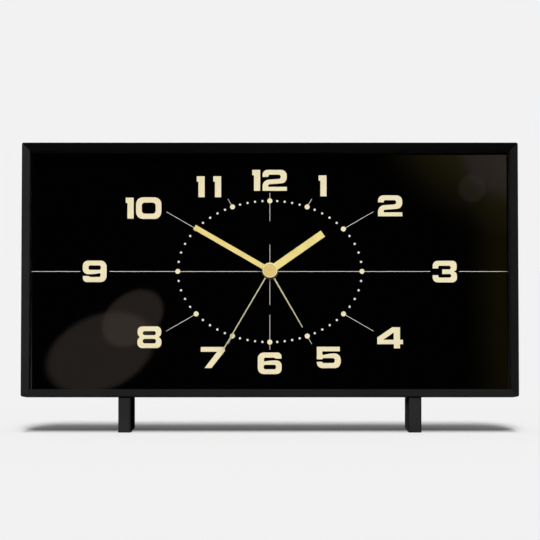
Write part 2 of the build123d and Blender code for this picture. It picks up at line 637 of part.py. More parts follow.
# Foot screws: heads on the inside of the case's floor, shanks down into the feet
with BuildPart() as foot_screws:
    with BuildSketch(level(REAR_WALL - CASE_HEIGHT / 2, (0, CASE_BACK - FOOT_SCREW_SETBACK))):
        with GridLocations(2 * FOOT_U, 0, 2, 1):
            Circle(SCREW_HEAD - FIT_GAP)
    extrude(amount=SCREW_HEAD_HEIGHT)
    with BuildSketch(level(REAR_WALL - CASE_HEIGHT / 2, (0, CASE_BACK - FOOT_SCREW_SETBACK))):
        with GridLocations(2 * FOOT_U, 0, 2, 1):
            Circle(SCREW_SHANK)
    extrude(amount=-REAR_WALL - FOOT_SCREW_GRIP)
save(foot_screws.part, "foot_screws")

# Battery cell: a round cell lying across the bay, button to the right
BATTERY_LEFT = BAY_U - (BATTERY_LENGTH + BATTERY_BUTTON_LENGTH) / 2
with BuildPart() as battery_cell:
    with BuildSketch(across(BATTERY_LEFT, 0, BATTERY_AXIS)):
        Circle(BATTERY_RADIUS)
    extrude(amount=BATTERY_LENGTH)
    chamfer(battery_cell.edges().filter_by(GeomType.CIRCLE), BATTERY_EDGE)
    with BuildSketch(across(BATTERY_LEFT + BATTERY_LENGTH, 0, BATTERY_AXIS)):
        Circle(BATTERY_BUTTON)
    extrude(amount=BATTERY_BUTTON_LENGTH)
save(battery_cell.part, "battery_cell")

# Battery contacts: a plate on each end wall of the bay, with a raised disc against the cell
for contact_name, end in (("battery_contact_negative", -1), ("battery_contact_positive", 1)):
    wall_u = BAY_U + end * BAY_LENGTH / 2
    with BuildPart() as contact:
        with BuildSketch(across(wall_u, 0, BATTERY_AXIS)):
            Rectangle(CONTACT_HEIGHT, CONTACT_HEIGHT)
        extrude(amount=-end * CONTACT_SHEET)
        with BuildSketch(across(wall_u - end * CONTACT_SHEET, 0, BATTERY_AXIS)):
            Circle(CONTACT_DISC)
        with BuildSketch(across(wall_u - end * CONTACT_ROOM, 0, BATTERY_AXIS)):
            Circle(CONTACT_TIP)
        loft()
    save(contact.part, contact_name)

# Battery door: a flush plate with a plug that enters the bay and grooves for a finger tip
with BuildPart() as battery_door:
    with BuildSketch(behind(COVER_BACK, BAY_AT)):
        Rectangle(BAY_LENGTH + 2 * (DOOR_LEDGE - DOOR_GAP), BAY_HEIGHT + 2 * (DOOR_LEDGE - DOOR_GAP))
    extrude(amount=DOOR_THICKNESS)
    with BuildSketch(behind(COVER_BACK - DOOR_THICKNESS, BAY_AT)):
        Rectangle(BAY_LENGTH - 2 * DOOR_GAP, BAY_HEIGHT - 2 * DOOR_GAP)
    extrude(amount=DOOR_PLUG)
    with BuildSketch(behind(COVER_BACK, (BAY_U + BAY_LENGTH / 2 - DOOR_GRIP_SETBACK, 0))):
        with GridLocations(DOOR_GRIP_PITCH, 0, DOOR_GRIP_GROOVES, 1):
            SlotOverall(DOOR_GRIP_LENGTH, DOOR_GRIP_WIDTH, rotation=90)
    extrude(amount=DOOR_GRIP_DEPTH, mode=Mode.SUBTRACT)
save(battery_door.part, "battery_door")

# Alarm switch: a slider in the cover's slot, on a housing behind the wall
SLIDER_AT = (SWITCH_AT[0] - SWITCH_TRAVEL / 2, SWITCH_AT[1])
FLANGE_LENGTH = SWITCH_STEM_LENGTH + 2 * SWITCH_FLANGE
FLANGE_HEIGHT = SWITCH_STEM_HEIGHT + 2 * SWITCH_FLANGE
FLANGE_BACK = COVER_INSIDE - SWITCH_GAP / 2
POCKET_LENGTH = FLANGE_LENGTH + SWITCH_TRAVEL + 2 * SWITCH_GAP
POCKET_HEIGHT = FLANGE_HEIGHT + 2 * SWITCH_GAP
POCKET_DEPTH = SWITCH_FLANGE_THICKNESS + SWITCH_GAP
with BuildPart() as alarm_switch_slider:
    with BuildSketch(behind(FLANGE_BACK, SLIDER_AT)):
        Rectangle(FLANGE_LENGTH, FLANGE_HEIGHT)
    extrude(amount=SWITCH_FLANGE_THICKNESS)
    with BuildSketch(behind(COVER_BACK + SWITCH_STEM_RISE, SLIDER_AT)):
        Rectangle(SWITCH_STEM_LENGTH, SWITCH_STEM_HEIGHT)
    extrude(amount=COVER_BACK + SWITCH_STEM_RISE - FLANGE_BACK)
    with BuildSketch(behind(COVER_BACK + SWITCH_STEM_RISE, SLIDER_AT)):
        with GridLocations(GRIP_PITCH, 0, GRIP_GROOVES, 1):
            Rectangle(GRIP_GROOVE, SWITCH_STEM_HEIGHT)
    extrude(amount=GRIP_DEPTH, mode=Mode.SUBTRACT)
save(alarm_switch_slider.part, "alarm_switch_slider")

with BuildPart() as alarm_switch_housing:
    with BuildSketch(behind(COVER_INSIDE, SWITCH_AT)):
        Rectangle(POCKET_LENGTH + 2 * SWITCH_BODY_WALL, POCKET_HEIGHT + 2 * SWITCH_BODY_WALL)
    extrude(amount=SWITCH_BODY_DEPTH)
    with BuildSketch(behind(COVER_INSIDE, SWITCH_AT)):
        Rectangle(POCKET_LENGTH, POCKET_HEIGHT)
    extrude(amount=POCKET_DEPTH, mode=Mode.SUBTRACT)
save(alarm_switch_housing.part, "alarm_switch_housing")

# Buzzer: a round can behind the sound slots, open towards them
with BuildPart() as buzzer:
    with BuildSketch(behind(COVER_INSIDE, BUZZER_AT)):
        Circle(BUZZER_RADIUS)
    extrude(amount=BUZZER_HEIGHT)
    with BuildSketch(behind(COVER_INSIDE, BUZZER_AT)):
        Circle(BUZZER_RADIUS - BUZZER_RING)
    extrude(amount=BUZZER_HORN, mode=Mode.SUBTRACT)
save(buzzer.part, "buzzer")

# Movement tray: front plate with ears, walls, posts and the bushing that carries the pipes
BUSHING_FRONT = DIAL_FRONT - END_PLAY
with BuildPart() as movement_tray:
    with BuildSketch(behind(REAR_PLATE_FRONT, MOVEMENT_AT)):
        Rectangle(MOVEMENT_SIZE, MOVEMENT_SIZE)
    extrude(amount=REAR_PLATE_FRONT - BULKHEAD_BACK)
    with BuildSketch(behind(REAR_PLATE_FRONT, MOVEMENT_AT)):
        Rectangle(TRAY_ROOM, TRAY_ROOM)
    extrude(amount=REAR_PLATE_FRONT - TRAY_INSIDE, mode=Mode.SUBTRACT)
    with BuildSketch(behind(TRAY_INSIDE, MOVEMENT_AT)):
        with GridLocations(0, 2 * EAR_V, 1, 2):
            SlotCenterToCenter(2 * EAR_U, 2 * EAR_RADIUS)
        with GridLocations(2 * EAR_U, 2 * EAR_V, 2, 2):
            Circle(EAR_SCREW + FIT_GAP, mode=Mode.SUBTRACT)
    extrude(amount=TRAY_PLATE)
    with BuildSketch(behind(MIDDLE_PLATE_FRONT, MOVEMENT_AT)):
        with GridLocations(POST_SPACING, POST_SPACING, 2, 2):
            Circle(POST_RADIUS)
    extrude(amount=MIDDLE_PLATE_FRONT - TRAY_INSIDE)
    with BuildSketch(behind(BULKHEAD_BACK)):
        Circle(BUSHING)
    extrude(amount=BULKHEAD_BACK - BUSHING_FRONT)
    with BuildSketch(behind(TRAY_INSIDE)):
        Circle(BUSHING_BORE)
    extrude(amount=TRAY_INSIDE - BUSHING_FRONT, mode=Mode.SUBTRACT)
    with BuildSketch(behind(TRAY_INSIDE)):
        with Locations(TIME_SET_AT, ALARM_SET_AT):
            Circle(SETTING_PIVOT + RUNNING_GAP)
        with Locations(THIRD_AT):
            Circle(THIRD_ARBOR + RUNNING_GAP)
    extrude(amount=PIVOT_DEPTH + END_PLAY, mode=Mode.SUBTRACT)
save(movement_tray.part, "movement_tray")

# Middle plate: divides the dial side of the movement from the motor side, and carries the board
with BuildPart() as movement_middle_plate:
    with BuildSketch(behind(MIDDLE_PLATE_BACK, MOVEMENT_AT)):
        Rectangle(TRAY_ROOM - 2 * PLATE_GAP, TRAY_ROOM - 2 * PLATE_GAP)
    extrude(amount=MIDDLE_PLATE)
    with BuildSketch(behind(BOARD_FRONT, BOARD_AT)):
        with GridLocations(0, BOARD_POST_SPACING, 1, 2):
            Circle(BOARD_POST)
    extrude(amount=BOARD_RISE)
    with BuildSketch(behind(MIDDLE_PLATE_BACK)):
        Circle(SECOND_ARBOR + RUNNING_GAP)
        with Locations(THIRD_AT):
            Circle(THIRD_ARBOR + RUNNING_GAP)
        with Locations(TIME_SET_AT, ALARM_SET_AT):
            Circle(SETTING_ARBOR + RUNNING_GAP)
    extrude(amount=MIDDLE_PLATE, mode=Mode.SUBTRACT)
    with BuildSketch(behind(MIDDLE_PLATE_BACK)):
        with Locations(STEP_AT, ROTOR_AT):
            Circle(THIRD_ARBOR + RUNNING_GAP)
    extrude(amount=PIVOT_DEPTH, mode=Mode.SUBTRACT)
    with BuildSketch(behind(MIDDLE_PLATE_BACK, (0, COIL_V))):
        with GridLocations(2 * STATOR_HALF_LENGTH - STATOR_LEG, 0, 2, 1):
            Circle(POST_RADIUS)
    extrude(amount=MIDDLE_PLATE_BACK - STATOR_FRONT)
save(movement_middle_plate.part, "movement_middle_plate")

# Rear plate: the movement's lid, with the rear bearings
with BuildPart() as movement_rear_plate:
    with BuildSketch(behind(REAR_PLATE_BACK, MOVEMENT_AT)):
        Rectangle(MOVEMENT_SIZE, MOVEMENT_SIZE)
    extrude(amount=REAR_PLATE)
    with BuildSketch(behind(REAR_PLATE_BACK)):
        with Locations(TIME_SET_AT, ALARM_SET_AT):
            Circle(SETTING_ARBOR + RUNNING_GAP)
    extrude(amount=REAR_PLATE, mode=Mode.SUBTRACT)
    with BuildSketch(behind(REAR_PLATE_FRONT)):
        Circle(SECOND_ARBOR + RUNNING_GAP)
        with Locations(THIRD_AT, STEP_AT, ROTOR_AT):
            Circle(THIRD_ARBOR + RUNNING_GAP)
    extrude(amount=-PIVOT_DEPTH - END_PLAY, mode=Mode.SUBTRACT)
save(movement_rear_plate.part, "movement_rear_plate")

# Movement screws: through the tray's ears into the bulkhead
with BuildPart() as movement_screws:
    with BuildSketch(behind(TRAY_INSIDE + EAR_SCREW_HEAD_HEIGHT, MOVEMENT_AT)):
        with GridLocations(2 * EAR_U, 2 * EAR_V, 2, 2):
            Circle(EAR_SCREW_HEAD)
    extrude(amount=EAR_SCREW_HEAD_HEIGHT)
    with BuildSketch(behind(TRAY_INSIDE, MOVEMENT_AT)):
        with GridLocations(2 * EAR_U, 2 * EAR_V, 2, 2):
            Circle(EAR_SCREW)
    extrude(amount=TRAY_PLATE + EAR_SCREW_GRIP)
save(movement_screws.part, "movement_screws")

# Alarm wheel and its pipe, which carries the alarm hand
with BuildPart() as alarm_wheel:
    with BuildSketch(behind(ALARM_LEVEL + WHEEL)):
        add(gear_outline(ALARM_TEETH, ALARM_MODULE, LEFT))
    extrude(amount=WHEEL)
    with BuildSketch(behind(ALARM_LEVEL + WHEEL)):
        Circle(ALARM_PIPE)
    extrude(amount=ALARM_LEVEL + WHEEL - ALARM_HAND_BACK + HAND_SHEET)
    with BuildSketch(behind(ALARM_LEVEL + WHEEL)):
        Circle(ALARM_PIPE_BORE)
    extrude(amount=ALARM_LEVEL + WHEEL - ALARM_HAND_BACK + HAND_SHEET, mode=Mode.SUBTRACT)
save(alarm_wheel.part, "alarm_wheel")

# Hour wheel and its pipe, which carries the hour hand
with BuildPart() as hour_wheel:
    with BuildSketch(behind(HOUR_LEVEL + WHEEL)):
        add(gear_outline(HOUR_TEETH, HOUR_MODULE, gap_at(RIGHT, HOUR_TEETH)))
    extrude(amount=WHEEL)
    with BuildSketch(behind(HOUR_LEVEL + WHEEL)):
        Circle(HOUR_PIPE)
    extrude(amount=HOUR_LEVEL + WHEEL - HOUR_HAND_BACK + HAND_SHEET)
    with BuildSketch(behind(HOUR_LEVEL + WHEEL)):
        Circle(HOUR_PIPE_BORE)
    extrude(amount=HOUR_LEVEL + WHEEL - HOUR_HAND_BACK + HAND_SHEET, mode=Mode.SUBTRACT)
save(hour_wheel.part, "hour_wheel")

# Minute pipe with the cannon pinion; the centre wheel slips on it when the hands are set
MINUTE_PIPE_BACK = MIDDLE_PLATE_FRONT - END_PLAY
with BuildPart() as minute_pipe:
    with BuildSketch(behind(MINUTE_LEVEL + WHEEL + PINION_OVERHANG)):
        add(gear_outline(CANNON_TEETH, MINUTE_MODULE, RIGHT))
    extrude(amount=WHEEL + 2 * PINION_OVERHANG)
    with BuildSketch(behind(MINUTE_PIPE_BACK)):
        Circle(MINUTE_PIPE)
    extrude(amount=MINUTE_PIPE_BACK - MINUTE_HAND_BACK + HAND_SHEET)
    with BuildSketch(behind(MINUTE_PIPE_BACK)):
        Circle(MINUTE_PIPE_BORE)
    extrude(amount=MINUTE_PIPE_BACK - MINUTE_HAND_BACK + HAND_SHEET, mode=Mode.SUBTRACT)
save(minute_pipe.part, "minute_pipe")

# Clutch spring: a three-armed washer on the minute pipe that presses on the centre wheel
CLUTCH_BACK = CENTRE_LEVEL - END_PLAY
with BuildPart() as clutch_spring:
    with BuildSketch(behind(CLUTCH_BACK)):
        Circle(SPRING_HUB)
        with PolarLocations(SPRING_HUB, SPRING_ARMS):
            Circle(SPRING_ARM)
        Circle(MINUTE_PIPE + PRESS_GAP, mode=Mode.SUBTRACT)
    extrude(amount=SPRING_SHEET)
save(clutch_spring.part, "clutch_spring")

# Centre wheel: driven once an hour, free on the minute pipe
with BuildPart() as centre_wheel:
    with BuildSketch(behind(CENTRE_LEVEL + WHEEL)):
        add(gear_outline(CENTRE_TEETH, CENTRE_MODULE, gap_at(UP, CENTRE_TEETH)))
        Circle(MINUTE_PIPE + RUNNING_GAP, mode=Mode.SUBTRACT)
    extrude(amount=WHEEL)
save(centre_wheel.part, "centre_wheel")

# Third wheel and pinion on a through arbor
THIRD_FRONT = TRAY_INSIDE - PIVOT_DEPTH
THIRD_BACK = REAR_PLATE_FRONT + PIVOT_DEPTH
with BuildPart() as third_wheel:
    with BuildSketch(behind(CENTRE_LEVEL + WHEEL + PINION_OVERHANG, THIRD_AT)):
        add(gear_outline(THIRD_PINION_TEETH, CENTRE_MODULE, DOWN))
    extrude(amount=WHEEL + 2 * PINION_OVERHANG)
    with BuildSketch(behind(THIRD_LEVEL + WHEEL, THIRD_AT)):
        add(gear_outline(THIRD_TEETH, THIRD_MODULE, gap_at(DOWN, THIRD_TEETH)))
    extrude(amount=WHEEL)
    with BuildSketch(behind(THIRD_BACK, THIRD_AT)):
        Circle(THIRD_ARBOR)
    extrude(amount=THIRD_BACK - THIRD_FRONT)
save(third_wheel.part, "third_wheel")

# Second wheel and pinion on the long arbor that carries the second hand
with BuildPart() as second_wheel:
    with BuildSketch(behind(THIRD_LEVEL + WHEEL + PINION_OVERHANG)):
        add(gear_outline(SECOND_PINION_TEETH, THIRD_MODULE, UP))
    extrude(amount=WHEEL + 2 * PINION_OVERHANG)
    with BuildSketch(behind(SECOND_LEVEL + WHEEL)):
        add(gear_outline(SECOND_TEETH, SECOND_MODULE, gap_at(DOWN, SECOND_TEETH)))
    extrude(amount=SECOND_LEVEL - THIRD_LEVEL - PINION_OVERHANG)
    with BuildSketch(behind(REAR_PLATE_FRONT + PIVOT_DEPTH)):
        Circle(SECOND_ARBOR)
    extrude(amount=REAR_PLATE_FRONT + PIVOT_DEPTH - SECOND_HAND_FRONT)
save(second_wheel.part, "second_wheel")

# Intermediate wheel between the rotor and the second wheel
with BuildPart() as intermediate_wheel:
    with BuildSketch(behind(SECOND_LEVEL + WHEEL + PINION_OVERHANG, STEP_AT)):
        add(gear_outline(STEP_PINION_TEETH, SECOND_MODULE, UP))
    extrude(amount=WHEEL + 2 * PINION_OVERHANG)
    with BuildSketch(behind(STEP_LEVEL + WHEEL, STEP_AT)):
        add(gear_outline(STEP_TEETH, STEP_MODULE, gap_at(DOWN, STEP_TEETH)))
    extrude(amount=WHEEL)
    with BuildSketch(behind(REAR_PLATE_FRONT + PIVOT_DEPTH, STEP_AT)):
        Circle(THIRD_ARBOR)
    extrude(amount=REAR_PLATE_FRONT + 2 * PIVOT_DEPTH - END_PLAY - MIDDLE_PLATE_BACK)
save(intermediate_wheel.part, "intermediate_wheel")

# Rotor: a pinion on an arbor that carries the round magnet inside the stator
MAGNET_BACK = THIRD_LEVEL + MAGNET_LENGTH
with BuildPart() as rotor_pinion:
    with BuildSketch(behind(STEP_LEVEL + WHEEL + PINION_OVERHANG, ROTOR_AT)):
        add(gear_outline(ROTOR_PINION_TEETH, STEP_MODULE, UP))
    extrude(amount=WHEEL + 2 * PINION_OVERHANG)
    with BuildSketch(behind(REAR_PLATE_FRONT + PIVOT_DEPTH, ROTOR_AT)):
        Circle(THIRD_ARBOR)
    extrude(amount=REAR_PLATE_FRONT + 2 * PIVOT_DEPTH - END_PLAY - MIDDLE_PLATE_BACK)
save(rotor_pinion.part, "rotor_pinion")

with BuildPart() as rotor_magnet:
    with BuildSketch(behind(MAGNET_BACK, ROTOR_AT)):
        Circle(MAGNET_RADIUS)
        Circle(THIRD_ARBOR + PRESS_GAP, mode=Mode.SUBTRACT)
    extrude(amount=MAGNET_LENGTH)
save(rotor_magnet.part, "rotor_magnet")

# Stator: a sheet round the rotor with two legs down to the ends of the coil's core
STATOR_WAIST = ROTOR_V - STATOR_HOLE - STATOR_MARGIN
STATOR_BOTTOM = COIL_V - COIL_CORE_WIDTH / 2
LEG_INSIDE = STATOR_HALF_LENGTH - STATOR_LEG
with BuildPart() as stator:
    with BuildSketch(behind(STATOR_BACK)):
        with BuildLine():
            Polyline(
                (-STATOR_HALF_LENGTH, STATOR_TOP),
                (STATOR_HALF_LENGTH, STATOR_TOP),
                (STATOR_HALF_LENGTH, STATOR_BOTTOM),
                (LEG_INSIDE, STATOR_BOTTOM),
                (LEG_INSIDE, STATOR_WAIST),
                (-LEG_INSIDE, STATOR_WAIST),
                (-LEG_INSIDE, STATOR_BOTTOM),
                (-STATOR_HALF_LENGTH, STATOR_BOTTOM),
                close=True,
            )
        make_face()
        with Locations(ROTOR_AT):
            Circle(STATOR_HOLE, mode=Mode.SUBTRACT)
    extrude(amount=STATOR_SHEET)
save(stator.part, "stator")

# Coil: a core bar on the stator's legs, a bobbin on the core and the winding on the bobbin
COIL_LENGTH = 2 * LEG_INSIDE - 2 * FIT_GAP
with BuildPart() as coil_core:
    with BuildSketch(behind(STATOR_BACK + COIL_CORE_SHEET, (0, COIL_V))):
        Rectangle(2 * STATOR_HALF_LENGTH, COIL_CORE_WIDTH)
    extrude(amount=COIL_CORE_SHEET)
save(coil_core.part, "coil_core")

with BuildPart() as coil_bobbin:
    with BuildSketch(across(-COIL_LENGTH / 2, COIL_V, COIL_AXIS)):
        Circle(COIL_TUBE)
    extrude(amount=COIL_LENGTH)
    for flange_u in (-COIL_LENGTH / 2, COIL_LENGTH / 2 - COIL_FLANGE_SHEET):
        with BuildSketch(across(flange_u, COIL_V, COIL_AXIS)):
            Circle(COIL_FLANGE)
        extrude(amount=COIL_FLANGE_SHEET)
    with BuildSketch(across(-COIL_LENGTH / 2, COIL_V, COIL_AXIS)):
        Rectangle(COIL_CORE_SHEET + 2 * PRESS_GAP, COIL_CORE_WIDTH + 2 * PRESS_GAP)
    extrude(amount=COIL_LENGTH, mode=Mode.SUBTRACT)
save(coil_bobbin.part, "coil_bobbin")

with BuildPart() as coil_winding:
    with BuildSketch(across(COIL_FLANGE_SHEET - COIL_LENGTH / 2, COIL_V, COIL_AXIS)):
        Circle(COIL_RADIUS)
        Circle(COIL_TUBE + PRESS_GAP, mode=Mode.SUBTRACT)
    extrude(amount=COIL_LENGTH - 2 * COIL_FLANGE_SHEET)
save(coil_winding.part, "coil_winding")

# Circuit board on the middle plate's posts, with the quartz crystal and the chip
with BuildPart() as circuit_board:
    with BuildSketch(behind(BOARD_BACK, BOARD_AT)):
        RectangleRounded(BOARD_WIDTH, BOARD_HEIGHT, BOARD_POST)
    extrude(amount=BOARD_SHEET)
save(circuit_board.part, "circuit_board")

CRYSTAL_LEFT = BOARD_U - CRYSTAL_LENGTH / 2
CRYSTAL_V = BOARD_TOP - CRYSTAL_DROP
with BuildPart() as quartz_crystal:
    with BuildSketch(across(CRYSTAL_LEFT, CRYSTAL_V, BOARD_BACK + CRYSTAL_RADIUS)):
        Circle(CRYSTAL_RADIUS)
    extrude(amount=CRYSTAL_LENGTH)
save(quartz_crystal.part, "quartz_crystal")

with BuildPart() as ic_chip:
    with BuildSketch(behind(BOARD_BACK + CHIP_HEIGHT, (BOARD_U, BOARD_V - CHIP_DROP))):
        Rectangle(CHIP_SIDE, CHIP_SIDE)
    extrude(amount=CHIP_HEIGHT)
save(ic_chip.part, "ic_chip")

# Alarm contact spring: a leaf on the tray beside the alarm wheel
with BuildPart() as alarm_contact_spring:
    with BuildSketch(behind(TRAY_INSIDE + ALARM_LEAF_SHEET, ALARM_LEAF_AT)):
        SlotOverall(ALARM_LEAF_LENGTH, ALARM_LEAF_WIDTH)
    extrude(amount=ALARM_LEAF_SHEET)
save(alarm_contact_spring.part, "alarm_contact_spring")

# Setting arbors: the time arbor carries the minute wheel and pinion, the alarm arbor one pinion
ARBOR_FRONT = TRAY_INSIDE - PIVOT_DEPTH
ARBOR_BACK = KNOB_FRONT + KNOB_SOCKET
with BuildPart() as time_set_arbor:
    with BuildSketch(behind(MINUTE_LEVEL, TIME_SET_AT)):
        add(gear_outline(MINUTE_PINION_TEETH, HOUR_MODULE, LEFT))
    extrude(amount=MINUTE_LEVEL - HOUR_LEVEL + PINION_OVERHANG)
    with BuildSketch(behind(MINUTE_LEVEL + WHEEL, TIME_SET_AT)):
        add(gear_outline(MINUTE_WHEEL_TEETH, MINUTE_MODULE, gap_at(LEFT, MINUTE_WHEEL_TEETH)))
    extrude(amount=WHEEL)
    with BuildSketch(behind(ARBOR_BACK, TIME_SET_AT)):
        Circle(SETTING_ARBOR)
    extrude(amount=ARBOR_BACK - MINUTE_LEVEL)
    with BuildSketch(behind(MINUTE_LEVEL, TIME_SET_AT)):
        Circle(SETTING_PIVOT)
    extrude(amount=MINUTE_LEVEL - ARBOR_FRONT)
save(time_set_arbor.part, "time_set_arbor")

with BuildPart() as alarm_set_arbor:
    with BuildSketch(behind(ALARM_LEVEL + WHEEL + PINION_OVERHANG, ALARM_SET_AT)):
        add(gear_outline(ALARM_PINION_TEETH, ALARM_MODULE, gap_at(RIGHT, ALARM_PINION_TEETH)))
    extrude(amount=WHEEL + 2 * PINION_OVERHANG)
    with BuildSketch(behind(ARBOR_BACK, ALARM_SET_AT)):
        Circle(SETTING_ARBOR)
    extrude(amount=ARBOR_BACK - ALARM_LEVEL)
    with BuildSketch(behind(ALARM_LEVEL, ALARM_SET_AT)):
        Circle(SETTING_PIVOT)
    extrude(amount=ALARM_LEVEL - ARBOR_FRONT)
save(alarm_set_arbor.part, "alarm_set_arbor")

# Setting knobs: fluted thumb wheels with a dished face, pressed on the arbors
for knob_name, knob_at in (("time_set_knob", TIME_SET_AT), ("alarm_set_knob", ALARM_SET_AT)):
    with BuildPart() as knob:
        with BuildSketch(behind(KNOB_BACK, knob_at)):
            Circle(KNOB_RADIUS)
            with PolarLocations(KNOB_RADIUS, KNOB_FLUTES):
                Circle(KNOB_FLUTE, mode=Mode.SUBTRACT)
        extrude(amount=KNOB_BACK - KNOB_FRONT)
        with BuildSketch(behind(ARBOR_BACK, knob_at)):
            Circle(SETTING_ARBOR + PRESS_GAP)
        extrude(amount=KNOB_SOCKET, mode=Mode.SUBTRACT)
        with BuildSketch(behind(KNOB_BACK, knob_at)):
            Circle(KNOB_FACE)
        extrude(amount=KNOB_FACE_DEPTH, mode=Mode.SUBTRACT)
    save(knob.part, knob_name)

# Hour and minute hands: straight square-ended batons
BATONS = (
    ("hour_hand", HOUR_HAND_BACK, HOUR_ANGLE, HOUR_LENGTH, HOUR_WIDTH, HOUR_PIPE),
    ("minute_hand", MINUTE_HAND_BACK, MINUTE_ANGLE, MINUTE_LENGTH, MINUTE_WIDTH, MINUTE_PIPE),
)
for hand_name, hand_back, angle, length, width, bore in BATONS:
    with BuildPart() as baton:
        with BuildSketch(behind(hand_back)):
            with Locations(Location((0, 0), -angle)):
                Rectangle(width, length, align=(Align.CENTER, Align.MIN))
            Circle(HUB_RADIUS)
            Circle(bore + PRESS_GAP, mode=Mode.SUBTRACT)
        extrude(amount=HAND_SHEET)
    save(baton.part, hand_name)

# Second and alarm hands: thin tapering needles
NEEDLES = (
    (
        "second_hand",
        (SECOND_HAND_BACK, SECOND_ANGLE, SECOND_LENGTH),
        (SECOND_ROOT_WIDTH, SECOND_TIP_WIDTH),
        (HUB_RADIUS, SECOND_ARBOR),
    ),
    (
        "alarm_hand",
        (ALARM_HAND_BACK, ALARM_ANGLE, ALARM_LENGTH),
        (ALARM_ROOT_WIDTH, ALARM_TIP_WIDTH),
        (ALARM_HUB_RADIUS, ALARM_PIPE),
    ),
)
for hand_name, (hand_back, angle, length), (root_width, tip_width), (hub, bore) in NEEDLES:
    with BuildPart() as needle:
        with BuildSketch(behind(hand_back)):
            with Locations(Location((0, 0), -angle)):
                Polygon(
                    (-root_width / 2, 0),
                    (root_width / 2, 0),
                    (tip_width / 2, length),
                    (-tip_width / 2, length),
                    align=None,
                )
            Circle(hub)
            Circle(bore + PRESS_GAP, mode=Mode.SUBTRACT)
        extrude(amount=HAND_SHEET)
    save(needle.part, hand_name)

# Centre cap: a small turned disc on the second hand's hub
with BuildPart() as centre_cap:
    with BuildSketch(behind(SECOND_HAND_FRONT)):
        Circle(CAP_RADIUS)
    extrude(amount=CAP_HEIGHT)
    chamfer(centre_cap.edges().sort_by(BACKWARDS)[0], CAP_EDGE)
save(centre_cap.part, "centre_cap")
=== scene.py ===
"""Looks of the wide table alarm clock: finishes, printed dial, camera and light on its frame."""

import json
import math

import bmesh
import bpy
from mathutils import Matrix, Vector


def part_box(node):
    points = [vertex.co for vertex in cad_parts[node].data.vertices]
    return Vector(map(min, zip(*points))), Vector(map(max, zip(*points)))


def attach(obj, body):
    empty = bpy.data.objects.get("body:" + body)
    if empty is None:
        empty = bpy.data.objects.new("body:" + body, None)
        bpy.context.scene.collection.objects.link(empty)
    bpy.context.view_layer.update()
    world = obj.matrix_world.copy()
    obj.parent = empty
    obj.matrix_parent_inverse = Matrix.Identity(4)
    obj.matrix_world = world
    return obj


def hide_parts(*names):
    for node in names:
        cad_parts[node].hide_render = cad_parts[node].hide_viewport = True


MM = 0.001

# Camera
IMAGE_SIZE = 540
SENSOR = 36.0
CAMERA_DISTANCE = 1136 * MM
CAMERA_HEIGHT = 65.4 * MM
CAMERA_SIDE = 0.06 * MM
FRONT_PIXELS_PER_METRE = 2486.0

# Light, as what each source adds to a white surface that faces it
BACKGROUND = 0.887
AMBIENT = 0.15
KEY_LEVEL = 0.80
KEY_LAMPS = (
    # where it shines from, share of the level, nodes that don't block it
    ((0.0, -0.12, 1.0), 0.20, ()),
    ((0.0, -0.29, 1.0), 0.32, ("bezel",)),
    ((0.0, -0.18, 1.0), 0.19, ("bezel", "case_body")),
    ((0.0, -0.42, 1.0), 0.29, ("bezel", "case_body")),
)
KEY_ANGLE = 8
CASE_LAMPS = (
    # where it shines from, level, angle
    ((0.0, -0.471, 0.882), 0.58, 6.0),
    ((1.0, -0.0175, 0.0), 1.82, 0.5),
    ((-1.0, -0.075, 0.0), 0.41, 0.5),
)
FEET_LEVEL = 0.77
FEET_FROM = (-0.24, -0.93, 0.22)
FEET_ANGLE = 6
DIAL_LEVEL = 0.98
DIAL_FROM = (0.12, -0.96, 0.25)
DIAL_ANGLE = 30
REAR_LEVEL = 0.80
REAR_FROM = (-0.50, 0.75, 0.43)
REAR_ANGLE = 40
FLOOR_BOUNCE = 0.08
FLOOR_GLOW = 0.07
FLOOR_HALF = 100.0

# Dark studio card that the glossy dial mirrors, with its soft lamps
CARD_AWAY = 1500 * MM
CARD_HALF_WIDTH = 520 * MM
CARD_HALF_HEIGHT = 260 * MM
CARD_FADE = 0.35
CARD_GLOWS = (
    # centre and half sizes on the dial in millimetres, tilt in degrees, light, softness
    ((-68.9, -33.2), (25.2, 16.4), 24, (1.42, 1.14, 0.97), 0.2),
    ((-55.8, -19.2), (15.2, 10.9), 39, (1.42, 1.14, 0.97), 0.2),
    ((88.1, 66.3), (50.0, 64.0), 42, (1.16, 0.94, 0.32), 0.7),
    ((98.0, 50.0), (23.6, 23.6), 0, (0.66, 0.52, 0.90), 0.35),
    ((82.3, 33.7), (6.4, 6.4), 0, (0.57, 0.46, 0.48), 0.25),
    ((112.0, 0.0), (34.0, 140.0), 0, (0.40, 0.33, 0.07), 0.5),
)

# Gloss of the dial and smoke in the lens
DIAL_GLOSS = 0.15
LENS_SMOKE = 0.03

# Nodes with lamps of their own: what shows through the lens, and the feet
DIAL_NODES = ("dial", "hour_hand", "minute_hand", "second_hand", "alarm_hand", "centre_cap")
FOOT_NODES = ("left_foot", "right_foot")

# Dial's painted highlight, in place of light on the recess walls: how far in from the side it begins and is full,
# and its end above the axle
DIAL_HIGHLIGHT = 0.4 * MM
DIAL_HIGHLIGHT_FULL = 0.9 * DIAL_HIGHLIGHT
DIAL_HIGHLIGHT_TOP = 8.0 * MM

# Hub of the needles, from the axle: brass, darkened with painted shade
SHADED_HUB_REACH = 3.55 * MM

# Node settings: bevel samples, a mix node's colour sockets, a wave texture's scale times its wave
BEVEL_SAMPLES = 4
MIX_FIRST = 6
MIX_SECOND = 7
MIX_RESULT = 2
WAVE_UNIT = 0.314

# Cover screws, millimetres
SCREW_HEAD = 2.6
SCREW_SHANK = 1.3
SCREW_HEAD_HEIGHT = 1.6
SCREW_EDGE = 0.15
SCREW_SIDES = 48
RECESS_DEPTH = 0.9
RECESS_REACH = 1.55
RECESS_WIDTH = 0.62

